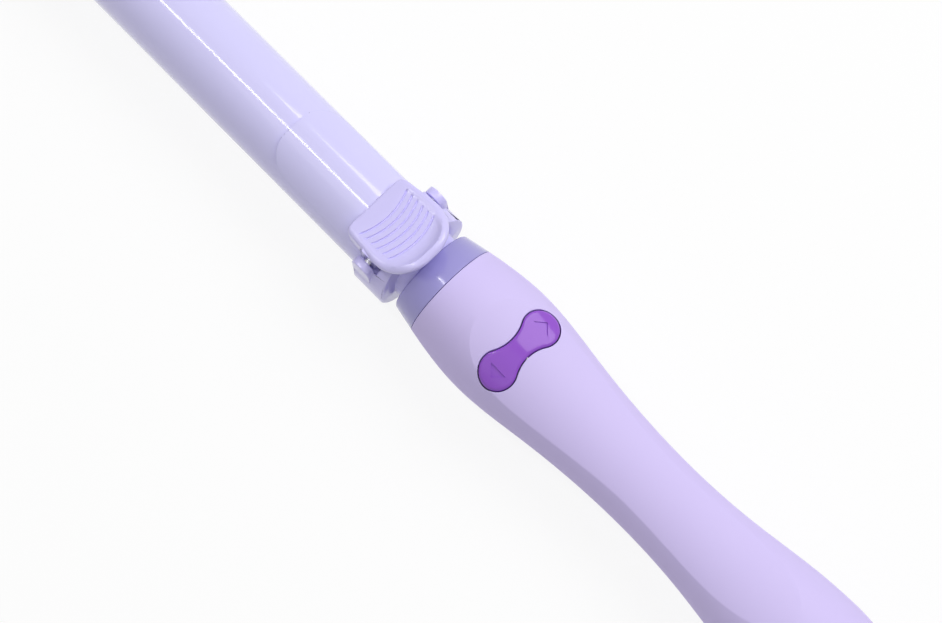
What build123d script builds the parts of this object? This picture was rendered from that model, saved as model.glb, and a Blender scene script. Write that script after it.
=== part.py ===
"""Rotating curling iron, as an assembly of separate pieces. Lengths are in millimetres.

X runs along the barrel towards its cool tip, Z comes up out of the face with the buttons, and Y completes
the frame. Stations along X count from the front end of the handle, on the axis that the barrel turns on, so
pieces in the handle have negative stations. The last step moves every piece so that the origin lies on the
floor, below the middle of the iron, which rests on the two flats at the back of its handle.
"""

import os
from math import acos, atan2, cos, degrees, pi, radians, sin, sqrt, tan

from build123d import *

# Fits
RUNNING = 0.05
LOOSE = 0.3
SHAFT_ROOM = 0.6
FACE_GAP = 0.1

# Barrel, a 1.25 inch tube
BARREL_R = 15.875
BARREL_WALL = 1.2
BARREL_START = 11.0
BARREL_END = 168.0
TUBE_FIT = 0.03
BARREL_SCREW_R = 1.2
BARREL_SCREW_HEAD_R = 2.2
SCREW_SINK = 1.4
SCREW_BITE = 2.0

# Cool tip
TIP_R = 15.7
TIP_LENGTH = 22.0
TIP_PLUG = 10.0
TIP_ROUND = 6.0
TIP_WALL = 2.5

# Rotating base between handle and barrel
BASE_REAR = 3.4
BASE_FRONT = 17.2
BASE_R = 18.9
BASE_ROUND = 1.2
NECK_R = 13.0
NECK_INTO_RING = 1.2
BASE_BOSS_END = 22.0
BASE_FLAT_Z = 16.0
BASE_SOCKET_R = 11.2
BASE_REAR_SLANT = 8.0

# Ears of the base and hinge of the clamp
PIVOT_X = 14.2
PIVOT_Z = 12.4
PIN_R = 1.25
EAR_R = 3.9
EAR_IN = 15.3
EAR_SHORT = 0.7
EAR_FOOT_Z = 2.0
CHEEK_IN = 13.0
CHEEK_OUT = 14.2
KNUCKLE_R = 2.9
POCKET_REAR = 9.4
CLAMP_OPEN_DEG = 16.0

# Clamp spoon
SPOON_GAP = 0.3
SPOON_THICK = 0.9
SPOON_TIP = 64.0
SPOON_TAIL = 17.8
SPOON_HALF = 14.3
SPOON_CORNER = 9.5
RIVET_X = 22.5
RIVET_ANGLE = 20.0
RIVET_R = 1.1
RIVET_HEAD_R = 1.9
RIVET_LENGTH = 2.6

# Thumb lever
LEVER_FRONT = 26.4
LEVER_REAR = -1.8
LEVER_FRONT_HALF = 12.9
LEVER_REAR_HALF = 15.6
LEVER_FRONT_CORNER = 2.5
LEVER_REAR_CORNER = 14.0
LEVER_FRONT_Z = 18.2
LEVER_SLOPE = 0.2
LEVER_THICK = 2.8
LEVER_RIM_Z = 26.0
LEVER_RIM_RUN = 7.5
LEVER_RIM_THICK = 3.2
LEVER_SKIRT_REAR = 18.4
LEVER_SKIRT_DROP = 1.5
LEVER_ROOT = 1.0
GROOVES = 6
GROOVE_FIRST_X = 19.1
GROOVE_PITCH = 2.57
GROOVE_BOW_R = 24.0
GROOVE_HALF = 10.5
GROOVE_HALF_STEP = 0.1
GROOVE_WIDTH = 0.5
GROOVE_DEPTH = 0.45

# Clamp spring
SPRING_X = 7.4
SPRING_R = 2.0
SPRING_WIRE_R = 0.35
SPRING_TURNS = 6
SPRING_FLOOR_Z = 9.5
SPRING_POCKET_R = 2.7

# Spindle, its bearings and what turns with it
SPINDLE_R = 8.0
SPINDLE_TAIL_R = 4.6
SPINDLE_BORE_R = 3.0
SPINDLE_SHOULDER = -10.0
SPINDLE_END = -54.5
SPINDLE_FLANGE_R = 11.0
SPINDLE_FLANGE = 2.0
SPINDLE_SCREW_RING = 9.5
SPINDLE_SCREW_R = 1.1
SPINDLE_SCREW_HEAD_R = 1.5
SPINDLE_SCREW_HEAD = 1.4
SPINDLE_SCREW_FLOOR = 2.0
BEARING_FRONT = -2.8
BEARING_REAR = -9.0
BEARING_R = 12.5
REAR_BEARING_FRONT = -47.8
REAR_BEARING_WIDTH = 4.0
REAR_BEARING_R = 8.0
CLIP_WIDTH = 0.8
CLIP_GROOVE_DEPTH = 0.6
CLIP_R = 6.0
CLIP_MOUTH = 5.0

# Drive
GEAR_MODULE = 0.5
GEAR_TEETH = 34
PINION_TEETH = 12
GEAR_FRONT = -15.3
GEAR_WIDTH = 4.4
GEAR_HUB_R = 7.2
PRESSURE_ANGLE = 20.0
ADDENDUM = 0.8
DEDENDUM = 1.15
BACKLASH = 0.08
MOTOR_FRONT = -22.0
MOTOR_SHAFT_R = 1.5
GEARBOX_LENGTH = 9.0
MOTOR_LENGTH = 15.0
MOTOR_WIDTH = 12.0
MOTOR_HEIGHT = 10.0
MOTOR_BOSS_R = 2.0
MOTOR_BOSS = 1.2
MOTOR_SHAFT_INSIDE = 2.0
MOTOR_SCREW_R = 0.7
MOTOR_SCREW_INSET = 1.5
MOTOR_SCREW_INSIDE = 3.0
MOTOR_SCREW_HEAD_R = 1.2
MOTOR_SCREW_HEAD = 0.4

# Slip rings
DRUM_FRONT = -22.8
DRUM_WALL = 0.8
RING_COUNT = 4
RING_PITCH = 3.2
RING_WIDTH = 1.8
RING_THICK = 0.5
BRUSH_R = 0.8
BRUSH_INSET = 0.8
BRUSH_SHOWN = 0.9
LEAD_R = 0.6
LEAD_RADIUS = 1.9
LEAD_BEND = 1.5
LEAD_PLACE = 0.75

# Heater inside the barrel
HEATER_FRONT = 148.0
HEATER_REAR = 50.0
HEATER_STACK_REAR = 58.0
HEATER_WALL = 0.8
HEATER_STACK_INSET = 4.0
PTC_THICK = 2.6
PTC_WIDTH = 11.0
PTC_PLATES = 3
PTC_GAP = 2.0
ELECTRODE_THICK = 0.4
FILM_THICK = 0.9
FILM_OVERHANG = 1.0
THERMISTOR_LENGTH = 4.5
THERMISTOR_WIDTH = 2.4
FUSE_LENGTH = 7.5
SHIELD_X = 25.0
SHIELD_THICK = 1.5
SHIELD_HOLE_R = 3.7

# Handle outline: radius of the round form at stations behind the handle's front end
RING_LENGTH = 9.7
RING_SPIGOT = 4.8
RING_ROUND = 1.0
FRONT_R = 16.3
SEAM_R = 18.3
BULGE_X = -33.0
BULGE_R = 21.0
TAPER_X = -62.0
TAPER_R = 18.05
WAIST_X = -98.0
WAIST_R = 15.1
RISE_X = -133.0
RISE_R = 16.5
SWELL_X = -158.0
SWELL_R = 19.7
FLARE_X = -172.0
FLARE_R = 20.7
CAP_X = -190.0
CAP_R = 19.0
HANDLE_END = -199.0
END_R = 13.5
CAP_SPIGOT = 4.0
CAP_ROUND = 1.5
WALL = 2.2
CASE_END_WALL = 3.0

# Front face of the handle: a flatter arch that dips below the round form
DECK_AXIS_Z = -13.0
DECK_START_Z = 23.6
DECK_ARCH_X = -24.0
DECK_ARCH_Z = 20.6
DECK_MID_X = -66.0
DECK_MID_Z = 14.5
DECK_WAIST_Z = 13.1
DECK_RISE_Z = 14.3
DECK_LIFT_X = -150.0
DECK_LIFT_Z = 17.3
DECK_END_Z = 26.0

# Back of the handle rests here
REST_Z = -20.4

# Rocker button
ROCKER_X = -41.6
ROCKER_SPACING = 19.7
ROCKER_LOBE_R = 6.25
ROCKER_WAIST = 3.7
ROCKER_GAP = 0.35
ROCKER_PROUD = 0.5
ROCKER_THICK = 2.0
ROCKER_TILT_DEG = 2.5
ROCKER_PIVOT_Z = 13.6
ROCKER_PIN_R = 0.9
ROCKER_LUG_HALF = 3.9
ROCKER_LUG_R = 1.9
ROCKER_EAR_THICK = 2.0
ROCKER_PRESS_GAP = 0.15
ROCKER_SKIRT_Z = 11.5
ROCKER_DROP = 1.5
ROCKER_ROOT = 1.0
ROCKER_FOOT_R = 1.3
ROCKER_EAR_HALF = 2.0
ROCKER_PIN_INSET = 0.3
ARROW_APEX = 3.05
ARROW_BASE = -0.2
ARROW_DEPTH = 0.4
ARROW_FLANK = 0.7

# Power button and light
POWER_X = -176.0
POWER_R = 4.5
POWER_GAP = 0.3
POWER_PROUD = 0.6
POWER_TRAVEL = 0.8
POWER_STEM_R = 1.6
KEEPER_DROP = 1.6
KEEPER_THICK = 0.6
KEEPER_LIP = 0.7
LIGHT_X = -166.5
LIGHT_R = 1.25
LIGHT_PROUD = 0.5
LIGHT_FLANGE_R = 2.2
LIGHT_FLANGE = 0.8
LIGHT_FLANGE_DROP = 0.5

# Button board, power board and main board
BUTTON_BOARD_Z = 8.7
BUTTON_BOARD_HALF = 12.4
BUTTON_BOARD_FRONT = -31.0
BUTTON_BOARD_REAR = -52.2
BOARD_THICK = 1.4
BOARD_EDGE = 2.2
SWITCH_SIZE = 4.5
SWITCH_BODY = 2.3
SWITCH_CAP_R = 1.4
SWITCH_CAP = 0.6
POWER_BOARD_Z = 11.0
POWER_BOARD_FRONT = -161.0
POWER_BOARD_REAR = -182.0
POWER_BOARD_HALF = 8.5
LED_R = 1.5
LED_HEIGHT = 3.0
MAIN_BOARD_Z = -4.0
MAIN_BOARD_FRONT = -67.0
MAIN_BOARD_REAR = -149.0
MAIN_BOARD_HALF = 11.0
POST_R = 2.2
POST_INSET = 4.5
BOARD_SCREW_R = 0.8
BOARD_SCREW_HEAD_R = 1.6
BOARD_SCREW_HEAD = 1.0
BOARD_SCREW_LENGTH = 5.0
MAIN_POST_INSET = 3.0
BOSS_ROOM = 0.5

# Components on the main board, each from its front face
SUPPLY_FRONT = -124.0
SUPPLY_LENGTH = 19.0
SUPPLY_Y = -1.0
SUPPLY_WIDTH = 12.0
SUPPLY_HEIGHT = 11.0
TERMINALS_FRONT = -113.5
TERMINALS_LENGTH = 7.5
TERMINALS_WIDTH = 13.0
TERMINALS_HEIGHT = 8.0
WIRE_Y = 3.0
WIRE_R = 1.4
WIRE_LIFT = 3.5
WIRE_DEPTH = 4.0
CLAMP_SCREW_DEPTH = 1.5
CAPACITOR_FRONT = -84.0
CAPACITOR_LENGTH = 17.0
CAPACITOR_R = 4.5
CAPACITOR_INSET = 2.0
TRIAC_FRONT = -89.0
TRIAC_LENGTH = 10.0
TRIAC_Y = -4.5
TRIAC_WIDTH = 4.0
TRIAC_HEIGHT = 9.0
COOLER_FRONT = -83.0
COOLER_LENGTH = 18.0
COOLER_WIDTH = 1.5
COOLER_HEIGHT = 8.0
FUSE_FRONT = -71.0
FUSE_TUBE_LENGTH = 10.0
FUSE_TUBE_R = 1.9
FUSE_Y = -3.5
FUSE_LIFT = 2.4
FUSE_CLIP = 2.0

# Inner frame
FRAME_RAIL_IN = 11.0
FRAME_RAIL_OUT = 13.2
FRAME_RAIL_HALF = 3.6
FRAME_POST_IN = 8.4
FRAME_POST_OUT = 12.4
FRAME_FRONT = -20.3
FRAME_END = -57.0
FRAME_LIP = 0.5
FRAME_FIT = 0.15

# Case screws
CASE_SCREW_STATIONS = (-60.0, -108.0, -155.0)
CASE_SCREW_R = 1.25
CASE_SCREW_HEAD_R = 2.6
CASE_SCREW_HEAD = 1.8
CASE_SCREW_SEAT_Z = -7.0
CASE_SCREW_TIP_Z = 6.5
CASE_BOSS_R = 3.9
CROSS_LENGTH = 3.0
CROSS_WIDTH = 0.6
CROSS_DEPTH = 0.8

# Cord swivel
SWIVEL_FLANGE_R = 7.9
SWIVEL_FLANGE = 2.2
SWIVEL_R = 6.3
SWIVEL_TIP_R = 5.0
SWIVEL_OUT = 9.0
SWIVEL_SHOULDER = 1.0
SWIVEL_STUB = 4.0
CORD_BORE_R = 3.4
RETAINER_R = 12.0
RETAINER_THICK = 2.0
RETAINER_SCREW_Y = 10.2
RETAINER_SCREW_R = 0.9
RETAINER_SCREW_LENGTH = 6.0
RETAINER_SCREW_HEAD_R = 1.7
RETAINER_SCREW_HEAD = 1.0
RETAINER_LUG_R = 2.0

# Values that several pieces share
EAR_OUT = BASE_R - EAR_SHORT
TUBE_BORE_R = BARREL_R - BARREL_WALL
BOSS_R = TUBE_BORE_R - TUBE_FIT
TIP_END = BARREL_END + TIP_LENGTH
SPOON_IN_R = BARREL_R + SPOON_GAP
SPOON_OUT_R = SPOON_IN_R + SPOON_THICK
DRUM_R = SPINDLE_TAIL_R + DRUM_WALL
SLIP_RING_R = DRUM_R + RING_THICK
DRUM_LENGTH = RING_COUNT * RING_PITCH + RING_WIDTH / 2
REAR_BEARING_REAR = REAR_BEARING_FRONT - REAR_BEARING_WIDTH
GEAR_REAR = GEAR_FRONT - GEAR_WIDTH
GEAR_PITCH_R = GEAR_MODULE * GEAR_TEETH / 2
PINION_PITCH_R = GEAR_MODULE * PINION_TEETH / 2
PINION_Z = -(GEAR_PITCH_R + PINION_PITCH_R)
MOTOR_REAR = MOTOR_FRONT - GEARBOX_LENGTH - MOTOR_LENGTH
SWIVEL_END = HANDLE_END - SWIVEL_OUT
STACK_HALF = PTC_THICK / 2 + ELECTRODE_THICK + FILM_THICK
STACK_FRONT = HEATER_FRONT - HEATER_STACK_INSET
MAIN_TOP_Z = MAIN_BOARD_Z + BOARD_THICK
SPOOL = 60.0
PAST = 1.0


def pieces_of(*shapes):
    """Single solids of any shapes, groups and lists of them."""
    flat = []
    for shape in shapes:
        flat += pieces_of(*shape) if isinstance(shape, list) else list(shape.solids())
    return flat


def join(*shapes):
    """All shapes as one."""
    whole = Part()
    for piece in pieces_of(*shapes):
        whole = whole + piece
    return whole


def cut(body, *tools):
    """Body without the tools."""
    left = join(body)
    for tool in pieces_of(*tools):
        left = left - tool
    return left


def turned(points):
    """Solid turned about X from (station, radius) points; the last point joins the first."""
    corners = [(x, 0, r) for x, r in points]
    return revolve(make_face(Polyline(*corners, close=True)), Axis.X)


def rod(x0, x1, r, y=0.0, z=0.0):
    """Round bar along X between two stations."""
    return Pos((x0 + x1) / 2, y, z) * Rot(0, 90, 0) * Cylinder(r, abs(x1 - x0))


def pipe(x0, x1, r_out, r_in):
    """Round tube along X."""
    return rod(x0, x1, r_out) - rod(x0, x1, r_in)


def post(x, y, z0, z1, r):
    """Round bar along Z."""
    return Pos(x, y, (z0 + z1) / 2) * Cylinder(r, abs(z1 - z0))


def cross_bar(x, z, y0, y1, r):
    """Round bar along Y."""
    return Pos(x, (y0 + y1) / 2, z) * Rot(90, 0, 0) * Cylinder(r, abs(y1 - y0))


def block(x0, x1, y0, y1, z0, z1):
    """Box between two corners."""
    centre = Pos((x0 + x1) / 2, (y0 + y1) / 2, (z0 + z1) / 2)
    return centre * Box(abs(x1 - x0), abs(y1 - y0), abs(z1 - z0))


def slab(x0, x1):
    """Everything near the axis between two stations."""
    return block(x0, x1, -SPOOL, SPOOL, -SPOOL, SPOOL)


def both_sides(piece):
    """The piece with its mirror image across the plane through the axis and the buttons."""
    return [piece, mirror(piece, Plane.XZ)]


def spread(angle, piece):
    """Turn a piece about the barrel's axis."""
    return Rot(angle, 0, 0) * piece


def round_form(inset):
    """Round form of the handle, inset from its surface."""
    stations = [
        (0, FRONT_R),
        (-RING_LENGTH, SEAM_R),
        (BULGE_X, BULGE_R),
        (TAPER_X, TAPER_R),
        (WAIST_X, WAIST_R),
        (RISE_X, RISE_R),
        (SWELL_X, SWELL_R),
        (FLARE_X, FLARE_R),
        (CAP_X, CAP_R),
        (HANDLE_END, END_R),
    ]
    outline = Spline(*[(x, 0, r - inset) for x, r in stations])
    edges = [outline, Polyline(outline @ 1, (HANDLE_END, 0, 0), (0, 0, 0), outline @ 0)]
    return revolve(make_face(edges), Axis.X)


def deck_form(inset):
    """Body under the arched front face, turned about a line below the handle's axis."""
    stations = [
        (0, DECK_START_Z),
        (DECK_ARCH_X, DECK_ARCH_Z),
        (DECK_MID_X, DECK_MID_Z),
        (WAIST_X, DECK_WAIST_Z),
        (RISE_X, DECK_RISE_Z),
        (DECK_LIFT_X, DECK_LIFT_Z),
        (HANDLE_END, DECK_END_Z),
    ]
    outline = Spline(*[(x, 0, z - inset) for x, z in stations])
    floor = Polyline(outline @ 1, (HANDLE_END, 0, DECK_AXIS_Z), (0, 0, DECK_AXIS_Z), outline @ 0)
    return revolve(make_face([outline, floor]), Axis((0, 0, DECK_AXIS_Z), (1, 0, 0)))


def handle_form(inset, front=-RING_LENGTH, rear=HANDLE_END):
    """Handle between two stations, with its arched front face and the flats it rests on."""
    above_floor = block(rear, front, -SPOOL, SPOOL, REST_Z + inset, SPOOL)
    return round_form(inset) & deck_form(inset) & above_floor


OUTER = handle_form(0)
CAVITY = handle_form(WALL)
FRAME_ROOM = handle_form(WALL + FRAME_FIT, FRAME_FRONT, FRAME_END)


def barrel_tube():
    """Heated tube with the two holes that fix it to the base."""
    tube = pipe(BARREL_START, BARREL_END, BARREL_R, TUBE_BORE_R)
    return cut(tube, barrel_screws())


def barrel_screws():
    """Two countersunk screws that go in radially below the barrel."""
    x = (BASE_FRONT + BARREL_START) / 2
    shank = post(x, 0, BOSS_R - SCREW_BITE, BASE_R - SCREW_SINK, BARREL_SCREW_R)
    head = Pos(x, 0, BASE_R - SCREW_SINK) * Cone(BARREL_SCREW_R, BARREL_SCREW_HEAD_R, SCREW_SINK)
    return [spread(angle, shank + head) for angle in (145, 215)]


def tip_cap():
    """Cool tip with a hollow plug that seats in the tube."""
    outline = [
        (BARREL_END - TIP_PLUG, BOSS_R - TIP_WALL),
        (BARREL_END - TIP_PLUG, BOSS_R),
        (BARREL_END, BOSS_R),
        (BARREL_END, TIP_R),
        (TIP_END, TIP_R),
        (TIP_END, 0),
        (TIP_END - TIP_WALL, 0),
        (TIP_END - TIP_WALL, BOSS_R - TIP_WALL),
    ]
    cap = turned(outline)
    rim = cap.edges().filter_by(GeomType.CIRCLE).sort_by(Axis.X)[-1]
    return fillet(rim, TIP_ROUND)


def ear():
    """One ear of the base that holds a hinge pin."""
    knuckle = cross_bar(PIVOT_X, PIVOT_Z, EAR_IN, EAR_OUT, EAR_R)
    web = block(PIVOT_X - EAR_R, PIVOT_X + EAR_R, EAR_IN, EAR_OUT, EAR_FOOT_Z, PIVOT_Z)
    in_socket = rod(BARREL_START, BASE_FRONT, BARREL_R + TUBE_FIT)
    past_socket = rod(BASE_FRONT, PIVOT_X + EAR_R + PAST, BARREL_R + LOOSE)
    return cut(knuckle + web, in_socket, past_socket)


def barrel_base():
    """Rotating base: neck, collar with its ears, and the boss inside the tube."""
    outline = [
        (-NECK_INTO_RING, SPINDLE_R),
        (-NECK_INTO_RING, NECK_R),
        (BASE_REAR, NECK_R),
        (BASE_REAR, BASE_R - BASE_ROUND),
        (BASE_REAR + BASE_ROUND, BASE_R),
        (BASE_FRONT, BASE_R),
        (BASE_FRONT, BARREL_R + TUBE_FIT),
        (BARREL_START, BARREL_R + TUBE_FIT),
        (BARREL_START, BOSS_R),
        (BASE_BOSS_END, BOSS_R),
        (BASE_BOSS_END, BASE_SOCKET_R),
        (BARREL_START, BASE_SOCKET_R),
        (BARREL_START, SPINDLE_R),
    ]
    slant = Pos(BASE_REAR, 0, 0) * Rot(0, BASE_REAR_SLANT, 0) * block(-SPOOL, 0, -SPOOL, SPOOL, 0, SPOOL)
    room_half = CHEEK_OUT + LOOSE
    lever_room = block(BASE_REAR - PAST, BASE_FRONT + PAST, -room_half, room_half, BASE_FLAT_Z, SPOOL)
    pocket_floor = sqrt((BARREL_R + TUBE_FIT) ** 2 - CHEEK_IN**2) + FACE_GAP
    clamp_room = block(POCKET_REAR, BASE_FRONT + PAST, -EAR_IN, EAR_IN, pocket_floor, SPOOL)
    body = cut(turned(outline), slant - rod(-SPOOL, SPOOL, NECK_R), lever_room)
    body = cut(body, clamp_room - rod(-SPOOL, SPOOL, BARREL_R))
    body = join(body, both_sides(ear()))
    spring_pocket = post(SPRING_X, 0, SPRING_FLOOR_Z, SPOOL, SPRING_POCKET_R)
    return cut(body, spring_pocket, hinge_pins(), barrel_screws(), spindle_screws())


def hinge_pins():
    """Two short pins, one in each ear, that the clamp turns on."""
    pin = cross_bar(PIVOT_X, PIVOT_Z, CHEEK_IN + FACE_GAP, EAR_OUT - LOOSE, PIN_R)
    return [pin, mirror(pin, Plane.XZ)]


def spoon_outline():
    """Plan of the spoon, seen from above the barrel."""
    middle = (SPOON_TIP + SPOON_TAIL) / 2
    plan = Pos(middle, 0) * Rectangle(SPOON_TIP - SPOON_TAIL, 2 * SPOON_HALF)
    tips = [v for v in plan.vertices() if v.X > middle]
    return fillet(tips, SPOON_CORNER)


def rivet_blanks():
    """The two rivets before their heads are made flush with the inside of the spoon."""
    head_low = SPOON_IN_R - LOOSE
    shank = post(RIVET_X, 0, head_low, SPOON_OUT_R + RIVET_LENGTH, RIVET_R)
    head = Cone(RIVET_HEAD_R, RIVET_R, SPOON_OUT_R - head_low)
    blank = shank + Pos(RIVET_X, 0, (head_low + SPOON_OUT_R) / 2) * head
    return both_sides(spread(RIVET_ANGLE, blank))


def lever_rivets():
    """Two countersunk rivets that hold the lever on the spoon."""
    inside = rod(SPOON_TAIL, SPOON_TIP, SPOON_IN_R)
    return [cut(blank, inside) for blank in rivet_blanks()]


def clamp_spoon():
    """Curved sheet that holds the hair against the barrel."""
    sheet = pipe(SPOON_TAIL, SPOON_TIP, SPOON_OUT_R, SPOON_IN_R)
    plan = extrude(spoon_outline(), SPOOL)
    return cut(sheet & plan, rivet_blanks())


def lever_top_z(x):
    """Height of the lever's flat top at a station."""
    return LEVER_FRONT_Z + (LEVER_FRONT - x) * LEVER_SLOPE


def lever_profile():
    """Side view of the lever's plate, swept up into a rim at the rear."""
    rise_x = LEVER_REAR + LEVER_RIM_RUN
    climb = (-1, 0, LEVER_SLOPE)
    top = Line((LEVER_FRONT, 0, LEVER_FRONT_Z), (rise_x, 0, lever_top_z(rise_x)))
    rim_top = (LEVER_REAR + LEVER_RIM_THICK / 2, 0, LEVER_RIM_Z)
    sweep_up = TangentArc(top @ 1, rim_top, tangent=climb)
    rim_low = (LEVER_REAR, 0, LEVER_RIM_Z - LEVER_RIM_THICK)
    rim_side = (LEVER_REAR, 0, LEVER_RIM_Z - LEVER_RIM_THICK / 2)
    rim = Polyline(rim_top, rim_side, rim_low)
    under_x = rise_x - LEVER_ROOT
    under_z = lever_top_z(under_x) - LEVER_THICK
    under_front_z = lever_top_z(LEVER_FRONT) - LEVER_THICK
    under = Polyline(rim_low, (under_x, 0, under_z), (LEVER_FRONT, 0, under_front_z), top @ 0)
    return make_face([top, sweep_up, rim, under])


def lever_plan():
    """Plan of the lever's plate."""
    corners = [
        (LEVER_FRONT, LEVER_FRONT_HALF),
        (LEVER_REAR, LEVER_REAR_HALF),
        (LEVER_REAR, -LEVER_REAR_HALF),
        (LEVER_FRONT, -LEVER_FRONT_HALF),
    ]
    plan = make_face(Polyline(*corners, close=True))
    ends = plan.vertices().sort_by(Axis.X)
    plan = fillet(ends[2:], LEVER_FRONT_CORNER)
    return fillet(plan.vertices().sort_by(Axis.X)[:2], LEVER_REAR_CORNER)


def groove_set():
    """Thin bowed grooves across the thumb rest, cut square to its slope."""
    slope = degrees(atan2(LEVER_SLOPE, 1))
    grooves = []
    for i in range(GROOVES):
        x = GROOVE_FIRST_X - i * GROOVE_PITCH
        half = GROOVE_HALF - i * GROOVE_HALF_STEP
        sweep = degrees(half / GROOVE_BOW_R)
        arc = CenterArc((GROOVE_BOW_R, 0), GROOVE_BOW_R, 180 - sweep, 2 * sweep)
        outer = offset(arc, GROOVE_WIDTH / 2)
        groove = extrude(make_face(outer), GROOVE_DEPTH, both=True)
        grooves.append(Pos(x, 0, lever_top_z(x)) * Rot(0, slope, 0) * groove)
    return grooves


def thumb_lever():
    """Thumb lever: plate with grooves, skirt on the spoon, and two cheeks with the hinge holes."""
    body = extrude(lever_profile(), SPOOL, both=True)
    skirt_low = PIVOT_Z - LEVER_SKIRT_DROP
    skirt = block(LEVER_SKIRT_REAR, LEVER_FRONT, -SPOOL, SPOOL, skirt_low, LEVER_FRONT_Z)
    body = (body + skirt) & extrude(lever_plan(), SPOOL)
    web_top = lever_top_z(PIVOT_X) - LEVER_ROOT
    web = block(PIVOT_X - KNUCKLE_R, PIVOT_X + KNUCKLE_R, CHEEK_IN, CHEEK_OUT, PIVOT_Z, web_top)
    cheek = web + cross_bar(PIVOT_X, PIVOT_Z, CHEEK_IN, CHEEK_OUT, KNUCKLE_R)
    body = join(body, both_sides(cheek))
    pin_hole = cross_bar(PIVOT_X, PIVOT_Z, CHEEK_IN - PAST, CHEEK_OUT + PAST, PIN_R + RUNNING)
    spoon_seat = rod(PIVOT_X, LEVER_FRONT + PAST, SPOON_OUT_R)
    return cut(body, spoon_seat, both_sides(pin_hole), lever_rivets(), groove_set())


def biarc(start, start_way, end, end_way):
    """Two arcs that leave start along start_way and reach end along end_way."""
    span = end - start
    both = start_way + end_way
    spare = 1 - start_way.dot(end_way)
    along = span.dot(both)
    reach = (sqrt(along**2 + 2 * spare * span.dot(span)) - along) / (2 * spare)
    joint = (start + start_way * reach + end - end_way * reach) * 0.5
    first = TangentArc(start, joint, tangent=start_way)
    return [first, TangentArc(joint, end, tangent=first % 1)]


def coil_point(turn, bottom, rise):
    """Point and direction on the clamp spring's wire after a number of turns."""
    angle = 2 * pi * turn
    point = Vector(SPRING_X + SPRING_R * cos(angle), SPRING_R * sin(angle), bottom + rise * turn)
    way = Vector(-sin(angle), cos(angle), rise / (2 * pi * SPRING_R)).normalized()
    return point, way


def clamp_spring():
    """Compression spring under the lever, one unbroken wire."""
    bottom = SPRING_FLOOR_Z + SPRING_WIRE_R + FACE_GAP
    lever_under = lever_top_z(SPRING_X + SPRING_R) - LEVER_THICK
    rise = (lever_under - FACE_GAP - SPRING_WIRE_R - bottom) / SPRING_TURNS
    arcs = []
    for quarter in range(4 * SPRING_TURNS):
        start, start_way = coil_point(quarter / 4, bottom, rise)
        end, end_way = coil_point((quarter + 1) / 4, bottom, rise)
        arcs += biarc(start, start_way, end, end_way)
    path = Wire(arcs)
    samples = [path.position_at(i / 600) for i in range(601)]
    turn = 600 // SPRING_TURNS
    gaps = [
        (samples[i] - samples[j]).length - 2 * SPRING_WIRE_R
        for i in range(0, 601, 3)
        for j in range(i + turn // 2, min(i + 2 * turn, 601), 3)
    ]
    print("clamp spring least gap to itself", round(min(gaps), 3))
    section = Plane(path @ 0, z_dir=path % 0) * Circle(SPRING_WIRE_R)
    return sweep(section, path)


def spindle_screws():
    """Three screws that hold the spindle's flange in the base."""
    seat = BARREL_START + SPINDLE_FLANGE
    shank = rod(BASE_REAR + SPINDLE_SCREW_FLOOR, seat, SPINDLE_SCREW_R, z=SPINDLE_SCREW_RING)
    head = rod(seat, seat + SPINDLE_SCREW_HEAD, SPINDLE_SCREW_HEAD_R, z=SPINDLE_SCREW_RING)
    return [spread(angle, shank + head) for angle in (60, 180, 300)]


def lead_station(i):
    """Station of a slip ring."""
    return DRUM_FRONT - RING_PITCH * (i + LEAD_PLACE)


def lead_end(i):
    """Station where a lead meets the heater: two feed the electrodes, two the temperature sensor."""
    return HEATER_STACK_REAR if i % 2 == 0 else HEATER_REAR


def lead_angle(i):
    """Direction of a lead from the axis, on the electrode side or on the sensor side."""
    return (-45, 45, 225, 135)[i]


def heater_leads():
    """Four insulated leads from the heater, through the hollow spindle, to the slip rings."""
    leads = []
    for i in range(RING_COUNT):
        x = lead_station(i)
        turn = (x, 0, LEAD_RADIUS)
        path = FilletPolyline((lead_end(i), 0, LEAD_RADIUS), turn, (x, 0, DRUM_R - FACE_GAP), radius=LEAD_BEND)
        section = Plane(path @ 0, z_dir=path % 0) * Circle(LEAD_R)
        leads.append(spread(lead_angle(i), sweep(section, path)))
    return leads


def lead_holes(r_in, r_out):
    """Radial holes for the leads, between two radii."""
    return [
        spread(lead_angle(i), post(lead_station(i), 0, r_in, r_out, LEAD_R + FACE_GAP)) for i in range(RING_COUNT)
    ]


def spindle():
    """Hollow shaft that carries the barrel in the handle's two bearings."""
    outline = [
        (BARREL_START + SPINDLE_FLANGE, SPINDLE_BORE_R),
        (BARREL_START + SPINDLE_FLANGE, SPINDLE_FLANGE_R),
        (BARREL_START, SPINDLE_FLANGE_R),
        (BARREL_START, SPINDLE_R),
        (SPINDLE_SHOULDER, SPINDLE_R),
        (SPINDLE_SHOULDER, SPINDLE_TAIL_R),
        (SPINDLE_END, SPINDLE_TAIL_R),
        (SPINDLE_END, SPINDLE_BORE_R),
    ]
    groove = pipe(clip_front(), clip_front() - CLIP_WIDTH, SPINDLE_R, SPINDLE_TAIL_R - CLIP_GROOVE_DEPTH)
    return cut(turned(outline), groove, spindle_screws(), lead_holes(LEAD_RADIUS, SPINDLE_TAIL_R + PAST))


def clip_front():
    """Front face of the clip behind the rear bearing."""
    return REAR_BEARING_REAR - LOOSE


def spindle_clip():
    """Open clip that keeps the spindle in the rear bearing."""
    ring = pipe(clip_front(), clip_front() - CLIP_WIDTH, CLIP_R, SPINDLE_TAIL_R - CLIP_GROOVE_DEPTH)
    half = CLIP_MOUTH / 2
    return cut(ring, block(clip_front() - CLIP_MOUTH, clip_front() + PAST, -half, half, 0, SPOOL))


def front_bearing():
    """Bush in the handle's ring."""
    return pipe(BEARING_FRONT, BEARING_REAR, BEARING_R, SPINDLE_R + RUNNING)


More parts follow.
